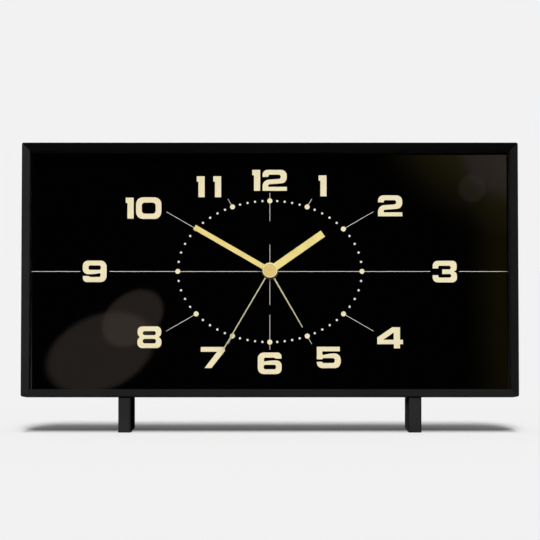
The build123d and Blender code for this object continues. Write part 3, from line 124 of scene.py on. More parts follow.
# Printed dial, millimetres. Places count from its centre, a little below the hands' axle.
PRINT_DROP = 0.14
PRINT_GAP = 0.01
WELD_DISTANCE = 0.0005
LEVEL_THICKNESS = 0.03
LINE_THICKNESS = 0.04
DOT_THICKNESS = 0.06
NUMERAL_THICKNESS = 0.06
MINUTES = 60
MINUTES_PER_HOUR_DOT = 5
MINUTE_DEGREES = 6
HOUR_DEGREES = 30
TRACK_HALF_WIDTH = 37.43
TRACK_HALF_HEIGHT = 28.77
HOUR_DOT = 1.02
MINUTE_DOT = 0.44
DOT_SIDES = 28
LINE_WIDTH = 0.20
LEVEL_HEIGHT = -0.04
LEVEL_INNER_END = 65.2
LEVEL_OUTER_START = 77.0
LEVEL_EDGE_GAP = 0.1
UPRIGHT_STRETCHES = ((-31.8, -17.7), (-13.6, 10.9), (20.5, 32.0))
TICK_ENDS = {1: 34.1, 2: 48.6, 4: 48.6, 5: 34.1, 7: 34.1, 8: 48.6, 10: 48.6, 11: 34.1}
NUMERAL_HEIGHT = 8.75
NUMERAL_PLACES = {
    "12": (-0.13, 37.16), "1": (21.47, 34.9), "2": (48.97, 26.75), "3": (71.1, -0.07),
    "4": (48.8, -27.0), "5": (23.9, -34.92), "6": (-0.05, -37.35), "7": (-23.15, -35.0),
    "8": (-48.9, -26.76), "9": (-71.2, 0.04), "10": (-51.4, 25.8), "11": (-24.8, 34.55),
}

# Numerals on a grid: corners as x, y and how far the rounding reaches. The nine is a turned six.
GRID_HEIGHT = 1000
DIGIT_GAP = 90
ONES_GAP = 378
CORNER_STEPS = 8
CORNER_PULL = 0.58
INK_DRAWN_BACK = 11
NINE_RIGHT = 1130
NINE_TOP = 998
SIX_LOOPS = (
    ((0, 1010, 300), (1120, 1010, 200), (1125, 707, 0), (824, 707, 60), (770, 752, 0),
     (306, 752, 60), (306, 590, 40), (600, 644, 200), (1130, 640, 260), (1130, -12, 270),
     (0, -12, 300)),
    ((293, 234, 70), (842, 234, 70), (842, 419, 70), (293, 419, 70)),
)
GLYPHS = {
    "0": (
        ((0, -15, 340), (1200, -15, 340), (1200, 1015, 340), (0, 1015, 340)),
        ((290, 250, 140), (912, 250, 140), (912, 750, 140), (290, 750, 140)),
    ),
    "1": (((80, 0, 0), (390, 0, 0), (390, 1000, 0), (0, 1000, 0), (0, 727, 0), (80, 727, 0)),),
    "2": (
        ((0, 0, 0), (1150, 0, 0), (1150, 205, 0), (290, 205, 0), (290, 300, 40), (1150, 370, 260),
         (1150, 1000, 290), (0, 1000, 260), (0, 650, 0), (290, 650, 0), (290, 755, 80),
         (845, 755, 85), (845, 580, 85), (0, 520, 300)),
    ),
    "3": (
        ((0, 1012, 250), (1135, 1012, 210), (1135, 560, 90), (1018, 498, 0), (1145, 435, 90),
         (1145, -14, 230), (0, -14, 250), (0, 344, 0), (283, 344, 0), (283, 231, 60),
         (860, 231, 70), (860, 376, 70), (443, 376, 0), (443, 611, 0), (835, 611, 70),
         (835, 760, 70), (283, 760, 60), (283, 633, 0), (0, 633, 0)),
    ),
    "4": (
        ((776, 0, 0), (1080, 0, 0), (1080, 192, 0), (1220, 192, 0), (1220, 416, 0), (1080, 416, 0),
         (1080, 1000, 0), (701, 1000, 0), (5, 523, 0), (5, 192, 0), (776, 192, 0)),
        ((327, 420, 0), (766, 420, 0), (766, 724, 0)),
    ),
    "5": (
        ((0, 1000, 0), (1088, 1000, 0), (1088, 767, 0), (279, 767, 0), (279, 610, 40),
         (620, 690, 200), (1130, 690, 300), (1130, -12, 290), (0, -12, 270), (0, 302, 0),
         (279, 302, 0), (279, 246, 45), (832, 246, 90), (832, 456, 90), (300, 456, 20),
         (279, 395, 0), (0, 395, 0)),
    ),
    "6": SIX_LOOPS,
    "7": (((0, 1000, 0), (1140, 1000, 0), (1140, 800, 0), (516, 0, 0), (164, 0, 0), (751, 756, 0),
           (0, 756, 0)),),
    "8": (
        ((0, -14, 250), (1140, -14, 250), (1140, 430, 130), (1018, 505, 0), (1130, 580, 120),
         (1130, 1014, 230), (10, 1014, 230), (10, 580, 120), (114, 505, 0), (0, 430, 130)),
        ((277, 605, 75), (859, 605, 75), (859, 773, 75), (277, 773, 75)),
        ((273, 223, 85), (864, 223, 85), (864, 414, 85), (273, 414, 85)),
    ),
    "9": tuple(tuple((NINE_RIGHT - x, NINE_TOP - y, reach) for x, y, reach in loop)
               for loop in SIX_LOOPS),
}


def srgb(red, green, blue):
    """A colour as screens write it, 0 to 255, as the linear colour that shaders take."""
    def linear(value):
        part = value / 255
        return part / 12.92 if part <= 0.04045 else ((part + 0.055) / 1.055) ** 2.4
    return (linear(red), linear(green), linear(blue), 1.0)


def grey(level):
    """A linear grey."""
    return (level, level, level, 1.0)


# Material nodes

class Finish:
    """A material under way, with short calls for the nodes that the finishes here share."""

    def __init__(self, name):
        self.material = bpy.data.materials.new(name)
        self.material.use_nodes = True
        self.nodes = self.material.node_tree.nodes
        self.links = self.material.node_tree.links
        self.shader = self.nodes["Principled BSDF"]
        place = self.nodes.new("ShaderNodeTexCoord")
        self.place = place.outputs["Object"]

    def constant(self, **values):
        """Sets sockets of the shader, named with _ in place of spaces."""
        for words, value in values.items():
            self.shader.inputs[words.replace("_", " ")].default_value = value

    def noise(self, size, detail=3.0, stretch=(1.0, 1.0, 1.0)):
        """Noise with blotches about size across, in metres, drawn out along the axes by stretch."""
        mapping = self.nodes.new("ShaderNodeMapping")
        mapping.inputs["Scale"].default_value = [1.0 / (size * share) for share in stretch]
        texture = self.nodes.new("ShaderNodeTexNoise")
        texture.inputs["Scale"].default_value = 1.0
        texture.inputs["Detail"].default_value = detail
        self.links.new(self.place, mapping.inputs["Vector"])
        self.links.new(mapping.outputs["Vector"], texture.inputs["Vector"])
        return texture.outputs["Fac"]

    def between(self, factor, low, high, start=0.3, end=0.7):
        """A number that runs from low to high as the factor runs from start to end."""
        node = self.nodes.new("ShaderNodeMapRange")
        node.inputs["From Min"].default_value = start
        node.inputs["From Max"].default_value = end
        node.inputs["To Min"].default_value = low
        node.inputs["To Max"].default_value = high
        self.links.new(factor, node.inputs["Value"])
        return node.outputs["Result"]

    def ramp(self, factor, *stops):
        """A colour from stops of (position, colour)."""
        node = self.nodes.new("ShaderNodeValToRGB")
        marks = node.color_ramp.elements
        while len(marks) < len(stops):
            marks.new(0.5)
        for mark, (position, colour) in zip(marks, stops):
            mark.position = position
            mark.color = colour
        self.links.new(factor, node.inputs["Fac"])
        return node.outputs["Color"]

    def to(self, socket, value):
        """Leads a value into a socket of the shader."""
        self.links.new(value, self.shader.inputs[socket])

    def axle_place(self):
        """Coordinates about the hands' axle, which becomes their z."""
        mapping = self.nodes.new("ShaderNodeMapping")
        mapping.vector_type = "TEXTURE"
        mapping.inputs["Location"].default_value = AXLE
        mapping.inputs["Rotation"].default_value = BACK.to_track_quat("Z", "Y").to_euler()
        self.links.new(self.place, mapping.inputs["Vector"])
        return mapping.outputs["Vector"]

    def axle_share(self, reach):
        """Distance from the hands' axle, as a share of that reach in metres."""
        flat = self.nodes.new("ShaderNodeVectorMath")
        flat.operation = "MULTIPLY"
        flat.inputs[1].default_value = (1.0, 1.0, 0.0)
        self.links.new(self.axle_place(), flat.inputs[0])
        away = self.nodes.new("ShaderNodeVectorMath")
        away.operation = "LENGTH"
        self.links.new(flat.outputs["Vector"], away.inputs[0])
        return self.between(away.outputs["Value"], 0.0, 1.0, start=0.0, end=reach)

    def bump(self, height, depth, edge=0.0):
        """Relief of that depth in metres, edges softened over that width where one is given."""
        node = self.nodes.new("ShaderNodeBump")
        node.inputs["Distance"].default_value = depth
        self.links.new(height, node.inputs["Height"])
        if edge:
            soft = self.nodes.new("ShaderNodeBevel")
            soft.samples = BEVEL_SAMPLES
            soft.inputs["Radius"].default_value = edge
            self.links.new(soft.outputs["Normal"], node.inputs["Normal"])
        self.links.new(node.outputs["Normal"], self.shader.inputs["Normal"])


def moulded(name, dark, light, rough, grain=0.35 * MM, depth=0.012 * MM, specular=0.2):
    """Moulded plastic: spark-eroded grain, faint flow mottling and softened edges."""
    finish = Finish(name)
    fine = finish.noise(grain, detail=2.0)
    wide = finish.noise(18 * MM, detail=4.0)
    finish.to("Base Color", finish.ramp(wide, (0.35, dark), (0.65, light)))
    finish.to("Roughness", finish.between(fine, low=rough - 0.06, high=rough + 0.06))
    finish.bump(fine, depth, edge=0.15 * MM)
    finish.constant(Specular_IOR_Level=specular)
    return finish.material


def lacquered(finish, colour):
    """Sprayed lacquer on thin sheet: slight orange peel over that colour."""
    peel = finish.noise(0.5 * MM, detail=2.0)
    finish.to("Base Color", colour)
    finish.to("Roughness", finish.between(peel, low=0.36, high=0.48))
    finish.bump(peel, depth=0.004 * MM, edge=0.06 * MM)
    finish.constant(Specular_IOR_Level=0.12)
    return finish.material


def baton_lacquer():
    """Yellow lacquer with a slow change of tone."""
    finish = Finish("baton_hands")
    wide = finish.noise(9 * MM)
    dark, light = srgb(235, 212, 130), srgb(244, 227, 148)
    return lacquered(finish, finish.ramp(wide, (0.35, dark), (0.65, light)))


def needle_lacquer():
    """Pale lacquer on the needles; brass darkened with painted shade on the hub that they turn on."""
    finish = Finish("needle_hands")
    share = finish.axle_share(2 * SHADED_HUB_REACH)
    # The hub's colour is brass darkened with painted shade.
    hub, needle, tip = srgb(104, 86, 46), srgb(206, 200, 158), srgb(196, 190, 150)
    colour = finish.ramp(share, (0.0, hub), (0.49, hub), (0.52, needle), (1.0, tip))
    return lacquered(finish, colour)


def metal(name, dark, light, rough, stretch=(14.0, 1.0, 1.0)):
    """Drawn or stamped metal: fine lines along its grain and patches of older surface."""
    finish = Finish(name)
    lines = finish.noise(0.06 * MM, stretch=stretch)
    wide = finish.noise(4 * MM, detail=4.0)
    finish.to("Base Color", finish.ramp(wide, (0.3, dark), (0.7, light)))
    finish.to("Roughness", finish.between(lines, low=rough - 0.08, high=rough + 0.12))
    finish.bump(lines, depth=0.002 * MM, edge=0.05 * MM)
    finish.constant(Metallic=1.0)
    return finish.material


def clear_lens():
    """Clear sheet: lets nearly all light through, with a trace of smoke and wiping marks."""
    finish = Finish("lens_clear")
    wiped = finish.noise(6 * MM, detail=5.0, stretch=(5.0, 1.0, 1.0))
    finish.to("Alpha", finish.between(wiped, low=0.7 * LENS_SMOKE, high=1.3 * LENS_SMOKE))
    finish.constant(Base_Color=grey(0.002), Roughness=0.1, Specular_IOR_Level=0.0)
    return finish.material


def dial_black():
    """Deep black dial under gloss lacquer, with a painted highlight along the sides that grows brighter towards
    the bottom.
    """
    finish = Finish("dial_black")
    flow = finish.noise(6 * MM)
    low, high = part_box("dial")
    place = finish.nodes.new("ShaderNodeSeparateXYZ")
    finish.links.new(finish.place, place.inputs["Vector"])
    side = finish.nodes.new("ShaderNodeMath")
    side.operation = "ABSOLUTE"
    finish.links.new(place.outputs["X"], side.inputs[0])
    # Painted highlight: a strip at each side, brighter towards the bottom, in place of light on the recess walls.
    edge = finish.between(side.outputs["Value"], 0.0, 1.0,
                          start=high.x - DIAL_HIGHLIGHT, end=high.x - DIAL_HIGHLIGHT_FULL)
    brighter_down = finish.between(place.outputs["Z"], 1.0, 0.0, start=low.z, end=AXLE.z + DIAL_HIGHLIGHT_TOP)
    both = finish.nodes.new("ShaderNodeMath")
    both.operation = "MULTIPLY"
    finish.links.new(edge, both.inputs[0])
    finish.links.new(brighter_down, both.inputs[1])
    face, half, highlight_full = grey(0.0005), grey(0.007), grey(0.034)
    colour = finish.ramp(both.outputs["Value"], (0.0, face), (0.5, half), (1.0, highlight_full))
    finish.to("Base Color", colour)
    finish.to("Roughness", finish.between(flow, low=0.0, high=0.02))
    finish.constant(Specular_IOR_Level=DIAL_GLOSS)
    return finish.material


def dial_ink(name, dark, light):
    """Screen-printed ink: dense, matt, with a barely uneven film."""
    finish = Finish(name)
    film = finish.noise(0.4 * MM)
    finish.to("Base Color", finish.ramp(film, (0.3, dark), (0.7, light)))
    finish.to("Roughness", finish.between(film, low=0.5, high=0.7))
    finish.bump(film, depth=0.002 * MM)
    finish.constant(Specular_IOR_Level=0.15)
    return finish.material


def turned_brass():
    """Turned and lacquered brass: rings round the hands' axle, and near its edge a painted dark ring and a painted
    highlight.
    """
    finish = Finish("cap_brass")
    rings = finish.nodes.new("ShaderNodeTexWave")
    rings.wave_type = "RINGS"
    rings.rings_direction = "Z"
    rings.inputs["Scale"].default_value = WAVE_UNIT / (0.25 * MM)
    rings.inputs["Distortion"].default_value = 0.6
    finish.links.new(finish.axle_place(), rings.inputs["Vector"])
    low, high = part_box("centre_cap")
    share = finish.axle_share((high.x - low.x) / 2)
    # Painted shade and light near the edge: a dark ring, then a bright highlight out to the rim.
    middle, disc = srgb(226, 197, 120), srgb(229, 202, 126)
    shade_band, rim = srgb(204, 172, 94), srgb(254, 240, 182)
    colour = finish.ramp(share, (0.0, middle), (0.74, disc), (0.80, shade_band), (0.86, rim))
    finish.to("Base Color", colour)
    finish.to("Roughness", finish.between(rings.outputs["Fac"], 0.42, 0.54, start=0.0, end=1.0))
    finish.bump(rings.outputs["Fac"], depth=0.003 * MM, edge=0.08 * MM)
    finish.constant(Specular_IOR_Level=0.15)
    return finish.material


def cell_jacket():
    """Dry cell: plain printed sleeve along the middle, bare steel at both ends."""
    low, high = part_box("battery_cell")
    finish = Finish("cell_jacket")
    along = finish.nodes.new("ShaderNodeSeparateXYZ")
    finish.links.new(finish.place, along.inputs["Vector"])
    share = finish.between(along.outputs["X"], 0.0, 1.0, start=low.x, end=high.x)
    steel = grey(0.55)
    sleeve = finish.ramp(share, (0.0, steel), (0.02, srgb(70, 78, 84)), (0.70, srgb(74, 82, 88)),
                         (0.71, srgb(168, 172, 174)), (0.93, srgb(172, 176, 178)), (0.95, steel))
    finish.to("Base Color", sleeve)
    fine = finish.noise(0.3 * MM)
    finish.to("Roughness", finish.between(fine, low=0.24, high=0.36))
    finish.bump(fine, depth=0.003 * MM)
    finish.constant(Metallic=0.35)
    return finish.material


def wound_copper():
    """Enamelled wire, turn beside turn along the coil, the grooves between turns painted dark as shade."""
    finish = Finish("coil_copper")
    turns = finish.nodes.new("ShaderNodeTexWave")
    turns.bands_direction = "X"
    turns.inputs["Scale"].default_value = WAVE_UNIT / (0.14 * MM)
    turns.inputs["Distortion"].default_value = 0.3
    finish.links.new(finish.place, turns.inputs["Vector"])
    # Painted shade: the grooves between turns are darker than the crowns.
    shade_band, crown = srgb(92, 38, 18), srgb(196, 104, 58)
    finish.to("Base Color", finish.ramp(turns.outputs["Fac"], (0.0, shade_band), (0.6, crown)))
    finish.to("Roughness", finish.between(turns.outputs["Fac"], 0.45, 0.25, start=0.0, end=1.0))
    finish.bump(turns.outputs["Fac"], depth=0.05 * MM)
    finish.constant(Metallic=0.8)
    return finish.material


def board_green():
    """Circuit board: solder mask over tracks."""
    finish = Finish("board_green")
    tracks = finish.nodes.new("ShaderNodeTexBrick")
    tracks.inputs["Scale"].default_value = 1.0
    tracks.inputs["Brick Width"].default_value = 6 * MM
    tracks.inputs["Row Height"].default_value = 1.6 * MM
    tracks.inputs["Mortar Size"].default_value = 0.35 * MM
    tracks.inputs["Color1"].default_value = srgb(18, 74, 40)
    tracks.inputs["Color2"].default_value = srgb(22, 84, 46)
    tracks.inputs["Mortar"].default_value = srgb(44, 116, 66)
    upright = finish.nodes.new("ShaderNodeMapping")
    upright.inputs["Rotation"].default_value = (math.pi / 2, 0.0, 0.0)
    finish.links.new(finish.place, upright.inputs["Vector"])
    finish.links.new(upright.outputs["Vector"], tracks.inputs["Vector"])
    finish.to("Base Color", tracks.outputs["Color"])
    fine = finish.noise(0.5 * MM, detail=2.0)
    finish.to("Roughness", finish.between(fine, low=0.25, high=0.4))
    finish.bump(tracks.outputs["Fac"], depth=0.03 * MM)
    return finish.material


def make_finishes():
    """One finish for each material slot of the record."""
    return {
        "case_plastic": moulded("case_plastic", grey(0.016), grey(0.019), rough=0.48,
                                specular=0.01),
        "cover_plastic": moulded("cover_plastic", grey(0.014), grey(0.019), rough=0.55,
                                 grain=0.55 * MM, depth=0.03 * MM),
        "foot_plastic": moulded("foot_plastic", grey(0.024), grey(0.030), rough=0.75, specular=0.0),
        "lens_clear": clear_lens(),
        "dial_black": dial_black(),
        "baton_hands": baton_lacquer(),
        "needle_hands": needle_lacquer(),
        "cap_brass": turned_brass(),
        "knob_plastic": moulded("knob_plastic", grey(0.012), grey(0.017), rough=0.4),
        "switch_plastic": moulded("switch_plastic", grey(0.30), grey(0.36), rough=0.45),
        "screw_steel": metal("screw_steel", grey(0.42), grey(0.55), rough=0.32),
        "cell_jacket": cell_jacket(),
        "contact_steel": metal("contact_steel", grey(0.55), grey(0.68), rough=0.28,
                               stretch=(1.0, 1.0, 12.0)),
        "movement_plastic": moulded("movement_plastic", srgb(198, 200, 196), srgb(212, 213, 208),
                                    rough=0.5),
        "wheel_plastic": moulded("wheel_plastic", srgb(224, 220, 204), srgb(236, 232, 218),
                                 rough=0.42),
        "motor_steel": metal("motor_steel", grey(0.36), grey(0.48), rough=0.38),
        "motor_magnet": metal("motor_magnet", grey(0.10), grey(0.15), rough=0.45),
        "coil_copper": wound_copper(),
        "board_green": board_green(),
        "chip_black": moulded("chip_black", grey(0.010), grey(0.015), rough=0.6, grain=0.15 * MM),
        "crystal_can": metal("crystal_can", grey(0.58), grey(0.70), rough=0.22),
        "spring_brass": metal("spring_brass", srgb(188, 150, 74), srgb(206, 170, 92), rough=0.3),
    }


def dress_nodes(finishes):
    """Gives every node of the frame the finish of its slot."""
    for part in RECORD["subparts"]:
        node = NODES[part["node"]]
        node.data.materials.clear()
        node.data.materials.append(finishes[part["material_slot"]])


# Leaning face

def face_distance(node):
    """How far back, along the hands' axle, a node begins."""
    return min(corner.co.dot(BACK) for corner in NODES[node].data.vertices)


def on_face(u, v, distance):
    """The point u right of and v above the hands' axle, at that distance along it; metres."""
    return AXLE + u * RIGHT + v * UP + (distance - AXLE.dot(BACK)) * BACK


def face_matrix(distance):
    """Carries x, y, z to the right, up and out of the leaning face."""
    out = -BACK
    origin = on_face(0.0, 0.0, distance)
    rows = [(RIGHT[i], UP[i], out[i], origin[i]) for i in range(3)]
    return Matrix(rows + [(0.0, 0.0, 0.0, 1.0)])


# Dial print

def flat_mesh(name, loops, thickness, edge=0.0):
    """A plate from loops in millimetres, with holes where loops lie in loops, its edges rounded."""
    curve = bpy.data.curves.new(name, "CURVE")
    curve.dimensions = "2D"
    curve.fill_mode = "BOTH"
    curve.extrude = (thickness / 2 - edge) * MM
    curve.bevel_depth = edge * MM
    curve.offset = -edge * MM
    for loop in loops:
        spline = curve.splines.new("POLY")
        spline.points.add(len(loop) - 1)
        for point, (x, y) in zip(spline.points, loop):
            point.co = (x * MM, y * MM, 0.0, 1.0)
        spline.use_cyclic_u = True
    holder = bpy.data.objects.new(name, curve)
    mesh = bpy.data.meshes.new_from_object(holder)
    bpy.data.objects.remove(holder)
    bpy.data.curves.remove(curve)
    welded = bmesh.new()
    welded.from_mesh(mesh)
    bmesh.ops.remove_doubles(welded, verts=welded.verts, dist=WELD_DISTANCE * MM)
    welded.to_mesh(mesh)
    welded.free()
    return mesh


def case_piece(name, mesh, material):
    """A piece that stays with the case."""
    mesh.materials.clear()
    mesh.materials.append(material)
    piece = bpy.data.objects.new(name, mesh)
    bpy.context.scene.collection.objects.link(piece)
    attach(piece, "case")
    return piece


def print_piece(name, loops, thickness, material):
    """A printed layer on the dial's face."""
    mesh = flat_mesh(name, loops, thickness)
    distance = face_distance("dial") - (PRINT_GAP + thickness / 2) * MM
    lowered = Matrix.Translation((0.0, -PRINT_DROP * MM, 0.0))
    mesh.transform(face_matrix(distance) @ lowered)
    return case_piece(name, mesh, material)


def rounded(corners):
    """A closed loop through corners of (x, y, reach), each rounded off over its reach."""
    loop = []
    for number, (x, y, reach) in enumerate(corners):
        corner = Vector((x, y))
        if not reach:
            loop.append(corner)
            continue
        before = Vector(corners[number - 1][:2]) - corner
        after = Vector(corners[(number + 1) % len(corners)][:2]) - corner
        start = corner + before.normalized() * reach
        end = corner + after.normalized() * reach
        first = start.lerp(corner, CORNER_PULL)
        second = end.lerp(corner, CORNER_PULL)
        for step in range(CORNER_STEPS + 1):
            t = step / CORNER_STEPS
            s = 1 - t
            loop.append(s**3 * start + 3 * s * s * t * first + 3 * s * t * t * second + t**3 * end)
    return loop


def drawn_back(loop, hole):
    """The loop with its ink drawn back a little: smaller outlines, larger holes."""
    area = sum(a.x * b.y - a.y * b.x for a, b in zip(loop, loop[1:] + loop[:1]))
    way = INK_DRAWN_BACK if (area > 0) != hole else -INK_DRAWN_BACK
    moved = []
    for before, point, after in zip(loop[-1:] + loop[:-1], loop, loop[1:] + loop[:1]):
        first = (point - before).normalized()
        second = (after - point).normalized()
        share = way / (1 + first.dot(second))
        moved.append(point + share * Vector((-first.y - second.y, first.x + second.x)))
    return moved


def numeral_loops(text, centre):
    """The loops of one numeral, its digits side by side about its centre, in millimetres."""
    widths = [max(x for x, y, reach in GLYPHS[digit][0]) for digit in text]
    gap = ONES_GAP if text == "11" else DIGIT_GAP
    unit = NUMERAL_HEIGHT / GRID_HEIGHT
    left = -(sum(widths) + gap * (len(text) - 1)) / 2
    loops = []
    for digit, width in zip(text, widths):
        for number, corners in enumerate(GLYPHS[digit]):
            loop = drawn_back(rounded(corners), hole=number > 0)
            loops.append([(centre[0] + (left + point.x) * unit,
                           centre[1] + (point.y - GRID_HEIGHT / 2) * unit) for point in loop])
        left += width + gap
    return loops


def track_radius(angle):
    """The oval minute track's distance from the centre at an angle from twelve."""
    return 1 / math.hypot(math.sin(angle) / TRACK_HALF_WIDTH, math.cos(angle) / TRACK_HALF_HEIGHT)


def round_loop(centre, radius, sides=DOT_SIDES):
    """A circle, as the corners of a polygon."""
    turn = 2 * math.pi / sides
    return [(centre[0] + radius * math.cos(side * turn), centre[1] + radius * math.sin(side * turn))
            for side in range(sides)]


def dot_loop(minute, radius):
    """A round dot on the minute track."""
    angle = math.radians(MINUTE_DEGREES * minute)
    away = track_radius(angle)
    return round_loop((away * math.sin(angle), away * math.cos(angle)), radius)


def line_loop(start, end):
    """A straight line of the dial's line width."""
    start, end = Vector(start), Vector(end)
    along = (end - start).normalized()
    side = Vector((-along.y, along.x)) * LINE_WIDTH / 2
    return [tuple(start - side), tuple(end - side), tuple(end + side), tuple(start + side)]


def level_loops():
    """The three stretches of the dial's level line, between its edges and round two numerals."""
    low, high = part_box("dial")
    edge = (high.x - low.x) / 2 / MM - LEVEL_EDGE_GAP
    stretches = ((-edge, -LEVEL_OUTER_START), (-LEVEL_INNER_END, LEVEL_INNER_END),
                 (LEVEL_OUTER_START, edge))
    return [line_loop((left, LEVEL_HEIGHT), (right, LEVEL_HEIGHT)) for left, right in stretches]


def tick_loops():
    """The short lines outward from the hour dots that don't lie on the long lines."""
    loops = []
    for hour, end in TICK_ENDS.items():
        angle = math.radians(HOUR_DEGREES * hour)
        ray = Vector((math.sin(angle), math.cos(angle)))
        loops.append(line_loop(ray * track_radius(angle), ray * end))
    return loops


def print_dial():
    """Numerals, dots and lines."""
    cream = dial_ink("ink_cream", srgb(240, 227, 184), srgb(247, 236, 198))
    pale = dial_ink("ink_pale", srgb(226, 224, 210), srgb(240, 238, 226))
    line = dial_ink("ink_line", srgb(214, 210, 202), srgb(226, 222, 214))
    pieces = [print_piece("numeral_" + text, numeral_loops(text, centre), NUMERAL_THICKNESS, cream)
              for text, centre in NUMERAL_PLACES.items()]
    hours = [dot_loop(minute, HOUR_DOT) for minute in range(0, MINUTES, MINUTES_PER_HOUR_DOT)]
    minutes = [dot_loop(minute, MINUTE_DOT) for minute in range(MINUTES)
               if minute % MINUTES_PER_HOUR_DOT]
    upright = [line_loop((0.0, low), (0.0, high)) for low, high in UPRIGHT_STRETCHES]
    pieces.append(print_piece("hour_dots", hours, DOT_THICKNESS, cream))
    pieces.append(print_piece("minute_dots", minutes, DOT_THICKNESS, pale))
    pieces.append(print_piece("upright_line", upright, LINE_THICKNESS, line))
    pieces.append(print_piece("level_line", level_loops(), LEVEL_THICKNESS, line))
    pieces.append(print_piece("hour_ticks", tick_loops(), LINE_THICKNESS, line))
    return pieces


# Cover screws

def recess_loop(centre):
    """The outline of a screw head's cross recess."""
    half = RECESS_WIDTH / 2
    arm = ((half, half), (half, RECESS_REACH), (-half, RECESS_REACH))
    loop = []
    for quarter in range(4):
        turn = Matrix.Rotation(quarter * math.pi / 2, 2)
        loop += [turn @ Vector(point) for point in arm]
    return [(centre[0] + point.x, centre[1] + point.y) for point in loop]


def join_meshes(name, meshes):
    """One mesh in place of several."""
    joined = bmesh.new()
    for mesh in meshes:
        joined.from_mesh(mesh)
        bpy.data.meshes.remove(mesh)
    whole = bpy.data.meshes.new(name)
    joined.to_mesh(whole)
    joined.free()
    return whole


def cover_screws(material):
    """Pan-head screws with a cross recess, in place of the plain ones in the rear cover."""
    points = [corner.co - AXLE for corner in NODES["rear_cover_screws"].data.vertices]
    right = max(point.dot(RIGHT) for point in points) / MM - SCREW_HEAD
    top = max(point.dot(UP) for point in points) / MM - SCREW_HEAD
    bottom = min(point.dot(UP) for point in points) / MM + SCREW_HEAD
    places = [(u, v) for u in (-right, right) for v in (bottom, top)]
    head_back = max(point.dot(BACK) for point in points) / MM
    shank_front = min(point.dot(BACK) for point in points) / MM
    heads = [round_loop(place, SCREW_HEAD, SCREW_SIDES) for place in places]
    shanks = [round_loop(place, SCREW_SHANK) for place in places]
    recesses = [recess_loop(place) for place in places]
    layers = (
        # outlines, front, back, rounding of the edges
        (heads + recesses, head_back - RECESS_DEPTH, head_back, SCREW_EDGE),
        (heads, head_back - SCREW_HEAD_HEIGHT, head_back - RECESS_DEPTH, 0.0),
        (shanks, shank_front, head_back - SCREW_HEAD_HEIGHT, 0.0),
    )
    meshes = []
    for loops, front, back, edge in layers:
        mesh = flat_mesh("screw_layer", loops, back - front, edge)
        mesh.transform(face_matrix(AXLE.dot(BACK) + (front + back) / 2 * MM))
        meshes.append(mesh)
    piece = case_piece("cover_screws", join_meshes("cover_screws", meshes), material)
    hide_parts("rear_cover_screws")


# Studio

def seen_ray(nodes, links):
    """1 for rays that come from the camera, a mirror or glass, 0 for rays that carry light."""
    path = nodes.new("ShaderNodeLightPath")
    first = nodes.new("ShaderNodeMath")
    first.operation = "MAXIMUM"
    links.new(path.outputs["Is Camera Ray"], first.inputs[0])
    links.new(path.outputs["Is Glossy Ray"], first.inputs[1])
    second = nodes.new("ShaderNodeMath")
    second.operation = "MAXIMUM"
    links.new(first.outputs["Value"], second.inputs[0])
    links.new(path.outputs["Is Transmission Ray"], second.inputs[1])
    return second.outputs["Value"]


def seen_colour(nodes, links, hidden, shown):
    """One colour for rays that carry light and another for rays that are seen."""
    mix = nodes.new("ShaderNodeMix")
    mix.data_type = "RGBA"
    mix.inputs[MIX_FIRST].default_value = hidden
    mix.inputs[MIX_SECOND].default_value = shown
    links.new(seen_ray(nodes, links), mix.inputs[0])
    return mix.outputs[MIX_RESULT]


def make_world():
    """Even light from all round, seen as the pale background."""
    world = bpy.data.worlds.new("studio")
    bpy.context.scene.world = world
    world.use_nodes = True
    nodes, links = world.node_tree.nodes, world.node_tree.links
    colour = seen_colour(nodes, links, grey(AMBIENT), grey(BACKGROUND))
    links.new(colour, nodes["Background"].inputs["Color"])


def make_sun(name, source, level, angle):
    """A sun lamp that lights a white surface facing it to that level, its angle in degrees."""
    lamp = bpy.data.lights.new(name, "SUN")
    lamp.energy = level * math.pi
    lamp.angle = math.radians(angle)
    sun = bpy.data.objects.new(name, lamp)
    sun.rotation_euler = Vector(source).to_track_quat("Z", "Y").to_euler()
    bpy.context.scene.collection.objects.link(sun)
    return sun


def light_group(name, things, state):
    """A group of things that a lamp's light includes or excludes."""
    group = bpy.data.collections.new(name)
    for thing in things:
        group.objects.link(thing)
    for member in group.collection_objects:
        member.light_linking.link_state = state
    return group


def aim(sun, things, state):
    """Keeps a lamp's light on some things only, or off them."""
    sun.light_linking.receiver_collection = light_group(sun.name + "_things", things, state)


def shine_past(sun, things):
    """Lets a lamp's light go through some things, which softens the front of the floor's shadow."""
    sun.light_linking.blocker_collection = light_group(sun.name + "_passed", things, "EXCLUDE")


def light_studio(floor, behind_lens, feet):
    """Lamps for the floor's shadow, the case, the feet, what lies behind the lens, and the back."""
    for source, share, passed in KEY_LAMPS:
        key = make_sun("key", source, KEY_LEVEL * share, KEY_ANGLE)
        aim(key, [floor], "INCLUDE")
        if passed:
            shine_past(key, [NODES[name] for name in passed])
    for source, level, angle in CASE_LAMPS:
        aim(make_sun("case_lamp", source, level, angle), [floor] + behind_lens + feet, "EXCLUDE")
    aim(make_sun("feet_lamp", FEET_FROM, FEET_LEVEL, FEET_ANGLE), feet, "INCLUDE")
    dial_lamp = make_sun("dial_lamp", DIAL_FROM, DIAL_LEVEL, DIAL_ANGLE)
    dial_lamp.visible_glossy = False
    aim(dial_lamp, behind_lens, "INCLUDE")
    aim(make_sun("rear_lamp", REAR_FROM, REAR_LEVEL, REAR_ANGLE), [floor], "EXCLUDE")


def stage_sheet(name, half_width, half_height):
    """A flat stage sheet about its own origin."""
    mesh = bpy.data.meshes.new(name)
    sheet = bmesh.new()
    corners = [(-half_width, -half_height), (half_width, -half_height),
               (half_width, half_height), (-half_width, half_height)]
    sheet.faces.new([sheet.verts.new((x, y, 0.0)) for x, y in corners])
    sheet.to_mesh(mesh)
    sheet.free()
    thing = bpy.data.objects.new(name, mesh)
    bpy.context.scene.collection.objects.link(thing)
    return thing


